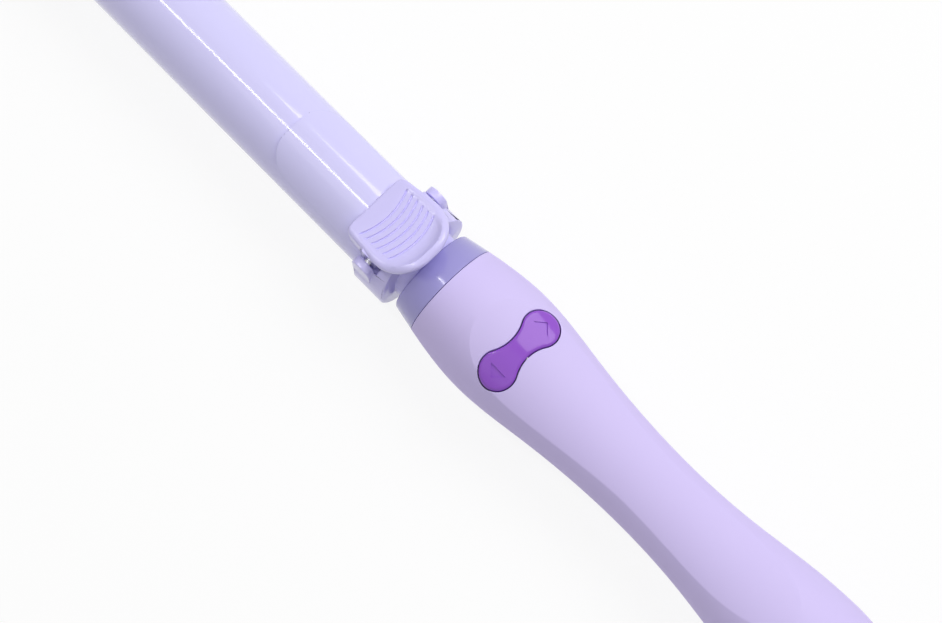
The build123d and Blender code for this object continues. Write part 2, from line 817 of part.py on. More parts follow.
def rear_bearing():
    """Bush in the inner frame."""
    return pipe(REAR_BEARING_FRONT, REAR_BEARING_REAR, REAR_BEARING_R, SPINDLE_TAIL_R + RUNNING)


def involute_points(base_r, r_from, r_to, steps):
    """Points (radius, turned angle) on an involute flank between two radii."""
    points = []
    for i in range(steps + 1):
        r = r_from + (r_to - r_from) * i / steps
        tilt = acos(min(1.0, base_r / r))
        points.append((r, tan(tilt) - tilt))
    return points


def gear(teeth, x0, x1, phase):
    """Spur gear about X with involute teeth; phase is the direction of one tooth, in degrees from Z."""
    pitch_r = GEAR_MODULE * teeth / 2
    base_r = pitch_r * cos(radians(PRESSURE_ANGLE))
    tip_r = pitch_r + ADDENDUM * GEAR_MODULE
    root_r = pitch_r - DEDENDUM * GEAR_MODULE
    flank = involute_points(base_r, max(base_r, root_r), tip_r, 4)
    pitch_turn = tan(radians(PRESSURE_ANGLE)) - radians(PRESSURE_ANGLE)
    half = pi / (2 * teeth) - BACKLASH / (2 * pitch_r) + pitch_turn
    rising = [(r, -(half - turn)) for r, turn in flank]
    tooth = [(root_r, rising[0][1])] + rising + [(r, -a) for r, a in reversed(rising)] + [(root_r, -rising[0][1])]
    corners = []
    for i in range(teeth):
        centre = radians(phase) + 2 * pi * i / teeth
        corners += [(r * sin(centre + a), r * cos(centre + a)) for r, a in tooth]
    outline = [(x0, y, z) for y, z in dict.fromkeys(corners)]
    return extrude(make_face(Polyline(*outline, close=True)), abs(x1 - x0), dir=(1 if x1 > x0 else -1, 0, 0))


def drive_gear():
    """Gear on the spindle, with one tooth pointing at the pinion."""
    hub = rod(SPINDLE_SHOULDER, GEAR_FRONT, GEAR_HUB_R)
    toothed = gear(GEAR_TEETH, GEAR_FRONT, GEAR_REAR, 180)
    return cut(join(toothed, hub), rod(SPINDLE_SHOULDER, GEAR_REAR, SPINDLE_TAIL_R))


def motor_pinion():
    """Pinion and output shaft of the motor, with one gap between teeth pointing at the gear."""
    teeth = gear(PINION_TEETH, GEAR_FRONT, GEAR_REAR, 180 / PINION_TEETH)
    shaft = rod(GEAR_FRONT, MOTOR_FRONT - MOTOR_SHAFT_INSIDE, MOTOR_SHAFT_R)
    return Pos(0, 0, PINION_Z) * join(teeth, shaft)


def gear_motor():
    """Small motor with its gearbox, offset below the spindle."""
    gearbox_rear = MOTOR_FRONT - GEARBOX_LENGTH
    half = MOTOR_WIDTH / 2
    low, high = -MOTOR_HEIGHT / 2, MOTOR_HEIGHT / 2
    gearbox = block(gearbox_rear, MOTOR_FRONT, -half, half, low, high)
    can = rod(gearbox_rear, MOTOR_REAR, half) & block(MOTOR_REAR, gearbox_rear, -half, half, low, high)
    boss = rod(MOTOR_REAR, MOTOR_REAR - MOTOR_BOSS, MOTOR_BOSS_R)
    shaft_hole = rod(MOTOR_FRONT, MOTOR_FRONT - MOTOR_SHAFT_INSIDE, MOTOR_SHAFT_R + RUNNING)
    body = cut(join(gearbox, can, boss), shaft_hole)
    return cut(Pos(0, 0, PINION_Z) * body, motor_screws())


def motor_screws():
    """Two small screws from the frame into the gearbox."""
    screws = []
    for side in (-1, 1):
        y = side * (MOTOR_WIDTH / 2 - MOTOR_SCREW_INSET)
        shank = rod(FRAME_FRONT, MOTOR_FRONT - MOTOR_SCREW_INSIDE, MOTOR_SCREW_R, y=y, z=PINION_Z)
        head = rod(FRAME_FRONT, FRAME_FRONT + MOTOR_SCREW_HEAD, MOTOR_SCREW_HEAD_R, y=y, z=PINION_Z)
        screws.append(shank + head)
    return screws


def slip_ring_drum():
    """Insulating drum pressed on the spindle."""
    body = pipe(DRUM_FRONT, DRUM_FRONT - DRUM_LENGTH, DRUM_R, SPINDLE_TAIL_R)
    return cut(body, lead_holes(SPINDLE_TAIL_R - PAST, DRUM_R + PAST))


def slip_rings():
    """One contact ring for each lead."""
    return [
        pipe(lead_station(i) - RING_WIDTH / 2, lead_station(i) + RING_WIDTH / 2, SLIP_RING_R, DRUM_R)
        for i in range(RING_COUNT)
    ]


def contact_brushes():
    """Carbon brushes that touch the slip rings from the side."""
    start = SLIP_RING_R + FACE_GAP
    end = FRAME_RAIL_IN - BRUSH_INSET
    return [cross_bar(lead_station(i), 0, start, end, BRUSH_R) for i in range(RING_COUNT)]


def brush_block():
    """Holder for the brushes, on the inner side of one rail."""
    holder_in = SLIP_RING_R + BRUSH_SHOWN
    body = block(DRUM_FRONT - DRUM_LENGTH, DRUM_FRONT, holder_in, FRAME_RAIL_IN, -FRAME_RAIL_HALF, FRAME_RAIL_HALF)
    return cut(body, contact_brushes())


def heater_bar():
    """Upper of the two aluminium bars that carry the heat to the tube."""
    above = block(HEATER_REAR, HEATER_FRONT, -SPOOL, SPOOL, STACK_HALF, SPOOL)
    half_round = rod(HEATER_REAR, HEATER_FRONT, BOSS_R) & above
    hollow = rod(HEATER_REAR, HEATER_FRONT, BOSS_R - HEATER_WALL) & (Pos(0, 0, HEATER_WALL) * above)
    return half_round - hollow


def heater_bars():
    """Both bars, pressed outwards against the tube."""
    upper = heater_bar()
    return [upper, mirror(upper, Plane.XY)]


def ptc_plates():
    """Ceramic heating plates in one row."""
    run = STACK_FRONT - HEATER_STACK_REAR
    length = (run - PTC_GAP * (PTC_PLATES - 1)) / PTC_PLATES
    plates = []
    for i in range(PTC_PLATES):
        start = HEATER_STACK_REAR + i * (length + PTC_GAP)
        half = PTC_WIDTH / 2
        plates.append(block(start, start + length, -half, half, -PTC_THICK / 2, PTC_THICK / 2))
    return plates


def stack_layer(inner, outer, half):
    """A pair of flat layers above and below the heating plates."""
    layer = block(HEATER_STACK_REAR, STACK_FRONT, -half, half, inner, outer)
    return [layer, mirror(layer, Plane.XY)]


def heater_electrodes():
    """Contact strips on both faces of the plates."""
    return stack_layer(PTC_THICK / 2, PTC_THICK / 2 + ELECTRODE_THICK, PTC_WIDTH / 2)


def heater_insulation():
    """Insulating plates between the contact strips and the bars."""
    return stack_layer(PTC_THICK / 2 + ELECTRODE_THICK, STACK_HALF, PTC_WIDTH / 2 + FILM_OVERHANG)


def thermistor():
    """Temperature sensor between the bars, at the ends of its two leads."""
    side = LEAD_RADIUS * sin(radians(lead_angle(1)))
    half = THERMISTOR_WIDTH / 2
    front = HEATER_REAR + THERMISTOR_LENGTH
    return block(HEATER_REAR, front, -side - half, -side + half, -STACK_HALF, STACK_HALF)


def thermal_fuse():
    """Fuse that opens when the barrel overheats."""
    return rod(HEATER_REAR, HEATER_REAR + FUSE_LENGTH, STACK_HALF, y=PTC_WIDTH / 2)


def heat_shield():
    """Mica disc between the heater and the base."""
    return pipe(SHIELD_X, SHIELD_X + SHIELD_THICK, BOSS_R, SHIELD_HOLE_R)


def handle_ring():
    """Ring at the front of the handle, which holds the front bearing and joins the two shells."""
    outer = round_form(0) & slab(-RING_LENGTH, 0)
    front_edge = outer.edges().filter_by(GeomType.CIRCLE).sort_by(Axis.X)[-1]
    outer = fillet(front_edge, RING_ROUND)
    spigot = rod(-RING_LENGTH, -RING_LENGTH - RING_SPIGOT, SEAM_R - WALL - FACE_GAP)
    neck_room = rod(-NECK_INTO_RING - LOOSE, PAST, NECK_R + LOOSE)
    shaft_room = rod(PAST, BEARING_FRONT - PAST, SPINDLE_R + SHAFT_ROOM)
    bearing_seat = rod(BEARING_FRONT, -RING_LENGTH - RING_SPIGOT - PAST, BEARING_R)
    return cut(join(outer, spigot), neck_room, shaft_room, bearing_seat)


def rocker_plan(grow):
    """Plan of the rocker: two lobes joined by a waist with hollow sides, grown all round."""
    lobe = ROCKER_LOBE_R + grow
    waist = ROCKER_WAIST + grow
    half = ROCKER_SPACING / 2
    side_r = (waist**2 + half**2 - lobe**2) / (2 * (lobe - waist))
    side_x = waist + side_r
    touch_x = lobe * side_x / (side_r + lobe)
    touch_y = half - lobe * half / (side_r + lobe)
    plan = Rectangle(2 * touch_x, 2 * touch_y)
    plan -= Pos(side_x, 0) * Circle(side_r)
    plan -= Pos(-side_x, 0) * Circle(side_r)
    plan += Pos(0, half) * Circle(lobe)
    plan += Pos(0, -half) * Circle(lobe)
    return plan


def rocker_column(grow, low):
    """Upright column with the rocker's plan, from a height upwards."""
    return Pos(ROCKER_X, 0, low) * extrude(rocker_plan(grow), SPOOL)


def deck_z(x, y=0.0):
    """Height of the handle's surface above a point of the plan, found on the outer form."""
    probe = Edge.make_line((x, y, 0), (x, y, SPOOL))
    return (OUTER & probe).bounding_box().max.Z


def arrow_cut(side):
    """Sunk arrowhead on one lobe, pointing away from the middle."""
    lobe_y = ROCKER_SPACING / 2
    apex = (0, lobe_y + ARROW_APEX)
    half_base = ARROW_APEX - ARROW_BASE
    base_y = lobe_y + ARROW_BASE
    triangle = make_face(Polyline(apex, (half_base, base_y), (-half_base, base_y), close=True))
    surface = deck_z(ROCKER_X, lobe_y) + ROCKER_PROUD
    tilt = degrees(atan2(deck_z(ROCKER_X, lobe_y + 2) - deck_z(ROCKER_X, lobe_y - 2), 4))
    arrow = Pos(0, -lobe_y, 0) * extrude(triangle, ROCKER_THICK)
    placed = Pos(ROCKER_X, lobe_y, surface - ARROW_DEPTH) * Rot(tilt, 0, 0) * arrow
    return placed if side > 0 else mirror(placed, Plane.XZ)


def rocker_button():
    """Rocker with two arrows, a lug for its pin and a foot over each switch."""
    skin = handle_form(-ROCKER_PROUD) - handle_form(ROCKER_THICK - ROCKER_PROUD)
    body = skin & rocker_column(0, ROCKER_SKIRT_Z)
    lug_top = deck_z(ROCKER_X) - ROCKER_ROOT
    lug = rod(ROCKER_X - ROCKER_LUG_HALF, ROCKER_X + ROCKER_LUG_HALF, ROCKER_LUG_R, z=ROCKER_PIVOT_Z)
    half = ROCKER_WAIST - LOOSE
    web = block(ROCKER_X - half, ROCKER_X + half, -ROCKER_LUG_R, ROCKER_LUG_R, ROCKER_PIVOT_Z, lug_top)
    ends = (ROCKER_X - ROCKER_LUG_HALF, ROCKER_X + ROCKER_LUG_HALF)
    pin_hole = rod(*ends, ROCKER_PIN_R + RUNNING, z=ROCKER_PIVOT_Z)
    press = ROCKER_SPACING / 2 * sin(radians(ROCKER_TILT_DEG))
    foot_low = BUTTON_BOARD_Z + BOARD_THICK + SWITCH_BODY + SWITCH_CAP + press + ROCKER_PRESS_GAP
    foot_top = deck_z(ROCKER_X, ROCKER_SPACING / 2) - ROCKER_ROOT
    foot = post(ROCKER_X, ROCKER_SPACING / 2, foot_low, foot_top, ROCKER_FOOT_R)
    return cut(join(body, lug, web, both_sides(foot)), pin_hole, arrow_cut(1), arrow_cut(-1))


def rocker_pin():
    """Pin that the rocker tilts on."""
    half = ROCKER_LUG_HALF + LOOSE + ROCKER_EAR_THICK - ROCKER_PIN_INSET
    return rod(ROCKER_X - half, ROCKER_X + half, ROCKER_PIN_R, z=ROCKER_PIVOT_Z)


def rocker_ears():
    """Two ears under the front shell that hold the rocker's pin."""
    near = ROCKER_LUG_HALF + LOOSE
    far = near + ROCKER_EAR_THICK
    ears = []
    for x0, x1 in ((ROCKER_X + near, ROCKER_X + far), (ROCKER_X - far, ROCKER_X - near)):
        top = min(deck_z(x0), deck_z(x1)) - WALL / 2
        ears.append(block(x0, x1, -ROCKER_EAR_HALF, ROCKER_EAR_HALF, ROCKER_PIVOT_Z - ROCKER_LUG_R, top))
    return [cut(piece, rocker_pin()) for piece in ears]


def case_bosses(upper):
    """Screw bosses of one shell, from the seam outwards."""
    return [post(x, 0, 0, SPOOL if upper else -SPOOL, CASE_BOSS_R) for x in CASE_SCREW_STATIONS]


def case_screws():
    """Three screws that hold the two shells together, from the back."""
    screws = []
    for x in CASE_SCREW_STATIONS:
        shank = post(x, 0, CASE_SCREW_SEAT_Z, CASE_SCREW_TIP_Z, CASE_SCREW_R)
        head = post(x, 0, CASE_SCREW_SEAT_Z, CASE_SCREW_SEAT_Z - CASE_SCREW_HEAD, CASE_SCREW_HEAD_R)
        slot_z = CASE_SCREW_SEAT_Z - CASE_SCREW_HEAD
        bar = Box(CROSS_LENGTH, CROSS_WIDTH, 2 * CROSS_DEPTH)
        cross = Pos(x, 0, slot_z) * (bar + Rot(0, 0, 90) * bar)
        screws.append(shank + head - cross)
    return screws


def shell_half(upper, standing):
    """One half of the handle's case, with the bosses, posts and ears that stand on its wall."""
    half = block(CAP_X, -RING_LENGTH, -SPOOL, SPOOL, 0, SPOOL if upper else -SPOOL)
    return cut(OUTER & half, cut(CAVITY, standing))


def power_board_posts():
    """Two posts under the front face that the power board is screwed to."""
    return [post(x, y, POWER_BOARD_Z + BOARD_THICK, SPOOL, POST_R) for x, y in power_screw_spots()]


def power_screw_spots():
    """Where the power board's screws go."""
    x = (POWER_BOARD_FRONT + POWER_BOARD_REAR) / 2
    return [(x, -POWER_BOARD_HALF + BOARD_EDGE), (x, POWER_BOARD_HALF - BOARD_EDGE)]


def front_shell():
    """Front half of the case, with the openings for rocker, power button and light."""
    body = shell_half(True, [case_bosses(True), rocker_ears(), power_board_posts()])
    power_hole = post(POWER_X, 0, 0, SPOOL, POWER_R + POWER_GAP)
    light_hole = post(LIGHT_X, 0, 0, SPOOL, LIGHT_R)
    opening = rocker_column(ROCKER_GAP, ROCKER_SKIRT_Z - ROCKER_DROP)
    return cut(body, opening, power_hole, light_hole, case_screws(), board_screws())


def main_post_spots():
    """Where the main board's screws go."""
    ends = (MAIN_BOARD_FRONT - POST_INSET, MAIN_BOARD_REAR + POST_INSET)
    y = MAIN_BOARD_HALF - MAIN_POST_INSET
    return [(x, s * y) for x in ends for s in (-1, 1)]


def back_shell():
    """Back half of the case, with the main board's posts and the screw wells."""
    posts = [post(x, y, MAIN_BOARD_Z, -SPOOL, POST_R) for x, y in main_post_spots()]
    wells = [post(x, 0, CASE_SCREW_SEAT_Z, -SPOOL, CASE_SCREW_HEAD_R + LOOSE) for x in CASE_SCREW_STATIONS]
    holes = [post(x, 0, PAST, CASE_SCREW_SEAT_Z - PAST, CASE_SCREW_R + FACE_GAP) for x in CASE_SCREW_STATIONS]
    return cut(shell_half(False, [case_bosses(False), posts]), wells, holes, board_screws())


def frame_posts():
    """Posts on one rail of the frame that the button board is screwed to."""
    posts = []
    for x, y in button_screw_spots():
        if y > 0:
            posts.append(
                block(x - POST_R, x + POST_R, FRAME_POST_IN, FRAME_POST_OUT, FRAME_RAIL_HALF, BUTTON_BOARD_Z)
            )
    return posts


def inner_frame():
    """Frame that carries the motor, the rear bearing, the brushes and the button board."""
    plates = FRAME_ROOM & (slab(FRAME_FRONT, MOTOR_FRONT) + slab(REAR_BEARING_FRONT + FRAME_LIP, REAR_BEARING_REAR))
    rail = block(FRAME_END, MOTOR_FRONT, FRAME_RAIL_IN, FRAME_RAIL_OUT, -FRAME_RAIL_HALF, FRAME_RAIL_HALF)
    body = cut(plates, block(FRAME_END, FRAME_FRONT + PAST, -SPOOL, SPOOL, BUTTON_BOARD_Z, SPOOL))
    body = join(body, both_sides(rail), both_sides(join(frame_posts())))
    return cut(
        body,
        rod(FRAME_FRONT + PAST, FRAME_END, SPINDLE_TAIL_R + SHAFT_ROOM),
        rod(REAR_BEARING_FRONT, REAR_BEARING_REAR - PAST, REAR_BEARING_R),
        rod(FRAME_FRONT + PAST, MOTOR_FRONT - PAST, MOTOR_SHAFT_R + SHAFT_ROOM, z=PINION_Z),
        motor_screws(),
        board_screws(),
    )


def button_screw_spots():
    """Where the button board's screws go."""
    ends = (BUTTON_BOARD_FRONT - BOARD_EDGE, BUTTON_BOARD_REAR + BOARD_EDGE)
    y = BUTTON_BOARD_HALF - BOARD_EDGE
    return [(x, s * y) for x in ends for s in (-1, 1)]


def board_screw(x, y, seat, way):
    """One small screw with its head on a board's face; way is the side that its head is on."""
    shank = post(x, y, seat, seat - way * BOARD_SCREW_LENGTH, BOARD_SCREW_R)
    return shank + post(x, y, seat, seat + way * BOARD_SCREW_HEAD, BOARD_SCREW_HEAD_R)


def board_screws():
    """All small screws that hold the three boards."""
    screws = [board_screw(x, y, BUTTON_BOARD_Z + BOARD_THICK, 1) for x, y in button_screw_spots()]
    screws += [board_screw(x, y, MAIN_BOARD_Z + BOARD_THICK, 1) for x, y in main_post_spots()]
    screws += [board_screw(x, y, POWER_BOARD_Z, -1) for x, y in power_screw_spots()]
    return screws


def button_board():
    """Board under the rocker."""
    half = BUTTON_BOARD_HALF
    top = BUTTON_BOARD_Z + BOARD_THICK
    board = block(BUTTON_BOARD_REAR, BUTTON_BOARD_FRONT, -half, half, BUTTON_BOARD_Z, top)
    return cut(board, board_screws())


def tact_switch(x, y, z):
    """Push switch on a board's top face."""
    half = SWITCH_SIZE / 2
    body = block(x - half, x + half, y - half, y + half, z, z + SWITCH_BODY)
    return body + post(x, y, z + SWITCH_BODY, z + SWITCH_BODY + SWITCH_CAP, SWITCH_CAP_R)


def rocker_switches():
    """Two switches, one for each way that the barrel turns."""
    z = BUTTON_BOARD_Z + BOARD_THICK
    return [tact_switch(ROCKER_X, s * ROCKER_SPACING / 2, z) for s in (-1, 1)]


def power_board():
    """Small board under the power button and the light."""
    half = POWER_BOARD_HALF
    top = POWER_BOARD_Z + BOARD_THICK
    board = block(POWER_BOARD_REAR, POWER_BOARD_FRONT, -half, half, POWER_BOARD_Z, top)
    return cut(board, board_screws())


def power_switch():
    """Switch under the power button."""
    return tact_switch(POWER_X, 0, POWER_BOARD_Z + BOARD_THICK)


def power_button():
    """Round button with a stem over its switch and a collar inside the case."""
    top_form = handle_form(-POWER_PROUD)
    surface = deck_z(POWER_X)
    keep_z = surface - WALL - KEEPER_DROP
    cap = post(POWER_X, 0, keep_z, SPOOL, POWER_R) & top_form
    switch_top = POWER_BOARD_Z + BOARD_THICK + SWITCH_BODY + SWITCH_CAP
    stem = post(POWER_X, 0, switch_top + POWER_TRAVEL + FACE_GAP, keep_z, POWER_STEM_R)
    keeper = post(POWER_X, 0, keep_z - KEEPER_THICK, keep_z, POWER_R + KEEPER_LIP)
    return cap + stem + keeper


def light_lens():
    """Small domed lens with a flange behind the wall and a stem down to the lamp."""
    surface = deck_z(LIGHT_X)
    lamp_top = POWER_BOARD_Z + BOARD_THICK + LED_HEIGHT
    dome_r = (LIGHT_R**2 + LIGHT_PROUD**2) / (2 * LIGHT_PROUD)
    dome = Pos(LIGHT_X, 0, surface + LIGHT_PROUD - dome_r) * Sphere(dome_r)
    body = post(LIGHT_X, 0, lamp_top + LOOSE, surface + LIGHT_PROUD, LIGHT_R)
    body = body & (dome + post(LIGHT_X, 0, 0, surface, LIGHT_R))
    flange_top = surface - WALL - LIGHT_FLANGE_DROP
    return body + post(LIGHT_X, 0, flange_top - LIGHT_FLANGE, flange_top, LIGHT_FLANGE_R)


def light_lamp():
    """Lamp under the lens."""
    base = POWER_BOARD_Z + BOARD_THICK
    body = post(LIGHT_X, 0, base, base + LED_HEIGHT - LED_R, LED_R)
    dome = Pos(LIGHT_X, 0, base + LED_HEIGHT - LED_R) * Sphere(LED_R)
    return body + dome


def main_board():
    """Main board on the back shell's posts, with a hole around the middle boss."""
    half = MAIN_BOARD_HALF
    board = block(MAIN_BOARD_REAR, MAIN_BOARD_FRONT, -half, half, MAIN_BOARD_Z, MAIN_BOARD_Z + BOARD_THICK)
    board -= post(CASE_SCREW_STATIONS[1], 0, MAIN_BOARD_Z - PAST, MAIN_TOP_Z + PAST, CASE_BOSS_R + BOSS_ROOM)
    return cut(board, board_screws())


def on_main(front, length, y, width, height):
    """Box that stands on the main board."""
    return block(front - length, front, y - width / 2, y + width / 2, MAIN_TOP_Z, MAIN_TOP_Z + height)


def supply_block():
    """Moulded supply for the motor and the control."""
    return on_main(SUPPLY_FRONT, SUPPLY_LENGTH, SUPPLY_Y, SUPPLY_WIDTH, SUPPLY_HEIGHT)


def supply_capacitor():
    """Capacitor lying on the main board, with its glued foot."""
    z = MAIN_TOP_Z + CAPACITOR_R
    can = rod(CAPACITOR_FRONT - CAPACITOR_LENGTH, CAPACITOR_FRONT, CAPACITOR_R, y=CAPACITOR_R, z=z)
    length = CAPACITOR_LENGTH - 2 * CAPACITOR_INSET
    return can + on_main(CAPACITOR_FRONT - CAPACITOR_INSET, length, CAPACITOR_R, CAPACITOR_R, CAPACITOR_R / 4)


def heater_switch():
    """Switching element of the heater, upright with its cooling plate."""
    case = on_main(TRIAC_FRONT, TRIAC_LENGTH, TRIAC_Y, TRIAC_WIDTH, TRIAC_HEIGHT)
    cooler_y = TRIAC_Y - (TRIAC_WIDTH + COOLER_WIDTH) / 2
    return case + on_main(COOLER_FRONT, COOLER_LENGTH, cooler_y, COOLER_WIDTH, COOLER_HEIGHT)


def mains_fuse():
    """Glass fuse between two clips."""
    rear = FUSE_FRONT - FUSE_TUBE_LENGTH
    tube = rod(rear, FUSE_FRONT, FUSE_TUBE_R, y=FUSE_Y, z=MAIN_TOP_Z + FUSE_LIFT)
    fronts = (rear + FUSE_CLIP, FUSE_FRONT)
    clips = [on_main(front, FUSE_CLIP, FUSE_Y, 2 * FUSE_TUBE_R, FUSE_LIFT) for front in fronts]
    return join(tube, clips)


def mains_terminals():
    """Screw terminals for the cord's two wires."""
    body = on_main(TERMINALS_FRONT, TERMINALS_LENGTH, 0, TERMINALS_WIDTH, TERMINALS_HEIGHT)
    rear = TERMINALS_FRONT - TERMINALS_LENGTH
    middle = TERMINALS_FRONT - TERMINALS_LENGTH / 2
    top = MAIN_TOP_Z + TERMINALS_HEIGHT
    for y in (-WIRE_Y, WIRE_Y):
        wire = rod(rear - PAST, rear + WIRE_DEPTH, WIRE_R, y=y, z=MAIN_TOP_Z + WIRE_LIFT)
        body = cut(body, wire, post(middle, y, top - CLAMP_SCREW_DEPTH, top + PAST, WIRE_R))
    return body


def end_cap():
    """Rounded end of the handle, which holds the cord swivel."""
    body = OUTER & slab(HANDLE_END - PAST, CAP_X)
    spigot = handle_form(WALL + FACE_GAP, CAP_X + CAP_SPIGOT, CAP_X - PAST)
    hollow = handle_form(2 * WALL, CAP_X + CAP_SPIGOT + PAST, HANDLE_END + CASE_END_WALL)
    body = body + spigot - hollow
    rim = body.edges().filter_by(GeomType.CIRCLE).sort_by(Axis.X)[0]
    body = join(fillet(rim, CAP_ROUND), retainer_lugs())
    swivel_hole = rod(HANDLE_END - PAST, CAP_X, SWIVEL_R + FACE_GAP)
    return cut(body, swivel_hole, retainer_screws())


def retainer_lugs():
    """Two lugs inside the end cap that the retainer is screwed to."""
    seat = retainer_rear()
    return [
        rod(HANDLE_END + PAST, seat, RETAINER_LUG_R, y=s * RETAINER_SCREW_Y) & handle_form(WALL / 2, CAP_X)
        for s in (-1, 1)
    ]


def retainer_rear():
    """Rear face of the retainer, just in front of the swivel's flange."""
    return HANDLE_END + CASE_END_WALL + SWIVEL_FLANGE + 2 * LOOSE


def retainer_screws():
    """Two screws that hold the retainer in the end cap."""
    seat = retainer_rear() + RETAINER_THICK
    shank = rod(seat, seat - RETAINER_SCREW_LENGTH, RETAINER_SCREW_R, y=RETAINER_SCREW_Y)
    head = rod(seat, seat + RETAINER_SCREW_HEAD, RETAINER_SCREW_HEAD_R, y=RETAINER_SCREW_Y)
    return both_sides(shank + head)


def swivel_retainer():
    """Plate that keeps the swivel's flange in the end cap."""
    rear = retainer_rear()
    plate = pipe(rear, rear + RETAINER_THICK, RETAINER_R, SWIVEL_TIP_R + LOOSE)
    return cut(plate, retainer_screws())


def cord_swivel():
    """Turning inlet for the cord, with a flange inside the end cap."""
    inner = HANDLE_END + CASE_END_WALL + LOOSE
    outline = [
        (SWIVEL_END, CORD_BORE_R),
        (SWIVEL_END, SWIVEL_TIP_R),
        (HANDLE_END - SWIVEL_SHOULDER, SWIVEL_R),
        (inner, SWIVEL_R),
        (inner, SWIVEL_FLANGE_R),
        (inner + SWIVEL_FLANGE, SWIVEL_FLANGE_R),
        (inner + SWIVEL_FLANGE, SWIVEL_TIP_R),
        (inner + SWIVEL_FLANGE + SWIVEL_STUB, SWIVEL_TIP_R),
        (inner + SWIVEL_FLANGE + SWIVEL_STUB, CORD_BORE_R),
    ]
    return turned(outline)


PIECES = [
    barrel_tube,
    tip_cap,
    barrel_base,
    hinge_pins,
    clamp_spring,
    clamp_spoon,
    thumb_lever,
    spindle,
    drive_gear,
    slip_ring_drum,
    slip_rings,
    spindle_clip,
    heater_leads,
    heater_bars,
    ptc_plates,
    heater_electrodes,
    heater_insulation,
    thermistor,
    thermal_fuse,
    heat_shield,
    handle_ring,
    front_bearing,
    rear_bearing,
    inner_frame,
    gear_motor,
    motor_pinion,
    motor_screws,
    contact_brushes,
    brush_block,
    front_shell,
    back_shell,
    rocker_button,
    rocker_pin,
    button_board,
    rocker_switches,
    power_board,
    power_switch,
    power_button,
    light_lens,
    light_lamp,
    main_board,
    supply_block,
    supply_capacitor,
    heater_switch,
    mains_fuse,
    mains_terminals,
    board_screws,
    case_screws,
    end_cap,
    swivel_retainer,
    retainer_screws,
    cord_swivel,
    spindle_screws,
    lever_rivets,
    barrel_screws,
]

SHIFT = Pos(-(TIP_END + SWIVEL_END) / 2, 0, -REST_Z)


def write(name, piece):
    """Move a piece to the final frame and write it."""
    solids = [SHIFT * solid for solid in pieces_of(piece)]
    moved = Compound(children=solids) if len(solids) > 1 else solids[0]
    export_step(moved, f"parts/{name}.step")


if __name__ == "__main__":
    os.makedirs("parts", exist_ok=True)
    for make in PIECES:
        write(make.__name__, make())
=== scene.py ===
"""Looks of a rotating curling iron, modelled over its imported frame.

Sizes are in millimetres and count from the front end of the handle, on the axis that the barrel turns on: X
towards the cool tip, Z out of the face with the buttons. Place.spot() turns them into metres in the frame.
"""

import bisect
import logging
import math
from dataclasses import dataclass
from enum import Enum
from typing import Callable, Iterable, Sequence

import bmesh
import bpy
from mathutils import Matrix, Vector

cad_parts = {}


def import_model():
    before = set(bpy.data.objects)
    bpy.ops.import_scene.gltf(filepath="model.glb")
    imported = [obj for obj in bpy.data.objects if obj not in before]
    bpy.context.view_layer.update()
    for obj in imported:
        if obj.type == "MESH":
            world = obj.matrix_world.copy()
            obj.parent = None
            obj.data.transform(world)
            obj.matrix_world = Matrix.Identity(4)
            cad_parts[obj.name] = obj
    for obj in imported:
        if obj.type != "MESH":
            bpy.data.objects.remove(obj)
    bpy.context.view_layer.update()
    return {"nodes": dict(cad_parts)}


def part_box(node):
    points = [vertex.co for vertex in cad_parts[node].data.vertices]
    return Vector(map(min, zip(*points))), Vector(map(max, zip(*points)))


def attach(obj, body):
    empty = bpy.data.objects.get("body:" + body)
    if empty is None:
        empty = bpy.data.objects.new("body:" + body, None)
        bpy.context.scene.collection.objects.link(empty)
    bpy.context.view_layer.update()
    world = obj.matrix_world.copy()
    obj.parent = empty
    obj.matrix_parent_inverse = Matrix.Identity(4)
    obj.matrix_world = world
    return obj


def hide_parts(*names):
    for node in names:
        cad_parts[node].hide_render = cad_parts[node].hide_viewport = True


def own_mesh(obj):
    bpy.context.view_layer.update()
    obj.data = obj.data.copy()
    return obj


logging.basicConfig(level=logging.INFO, format="%(message)s")
log = logging.getLogger("curling_iron")

# A millimetre in metres, and how finely places are told apart
MM = 0.001
MERGE_WITHIN = 0.002 * MM
KEY_STEPS_PER_METRE = 1e7

# How finely lines, round tools and rounded edges are made
SPAN_STEPS = 48
BAR_SIDES = 96
EDGE_STEPS = 3

# Angles between faces: edges above the first are rounded, those below the second are shaded smoothly
SHARP_ABOVE = math.radians(40)
SMOOTH_BELOW = math.radians(32)

Section = list[tuple[float, float]]
Plan = Callable[[float], Section]


class Body(Enum):
    """Bodies of the frame that pieces ride on."""

    HANDLE = "handle"
    BARREL = "barrel"
    CLAMP = "clamp"
    ROCKER = "rocker"
    POWER = "power"
    SWIVEL = "swivel"


class Way(Enum):
    """Direction of a round tool's axis, with the turn that a primitive needs for it."""

    ALONG = (0.0, math.pi / 2, 0.0)
    ACROSS = (math.pi / 2, 0.0, 0.0)
    UP = (0.0, 0.0, 0.0)


@dataclass(frozen=True)
class Place:
    """Where the handle's front end and the barrel's axis lie in the frame."""

    slide: float
    lift: float

    @classmethod
    def from_frame(cls) -> "Place":
        """Read the place from the ring at the handle's front and from the barrel.

        Returns:
            The place.
        """
        low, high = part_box("barrel_tube")
        ring_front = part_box("handle_ring")[1].x
        return cls(slide=ring_front / MM, lift=(low.z + high.z) / 2 / MM)

    def spot(self, x: float, y: float, z: float) -> Vector:
        """Point of the frame, in metres."""
        return Vector(((x + self.slide) * MM, y * MM, (z + self.lift) * MM))


def spread(start: float, end: float, steps: int) -> list[float]:
    """Evenly spaced numbers from a start to an end.

    Args:
        start: First number.
        end: Last number.
        steps: Steps between them.

    Returns:
        The numbers, with both ends.
    """
    return [start + (end - start) * k / steps for k in range(steps + 1)]


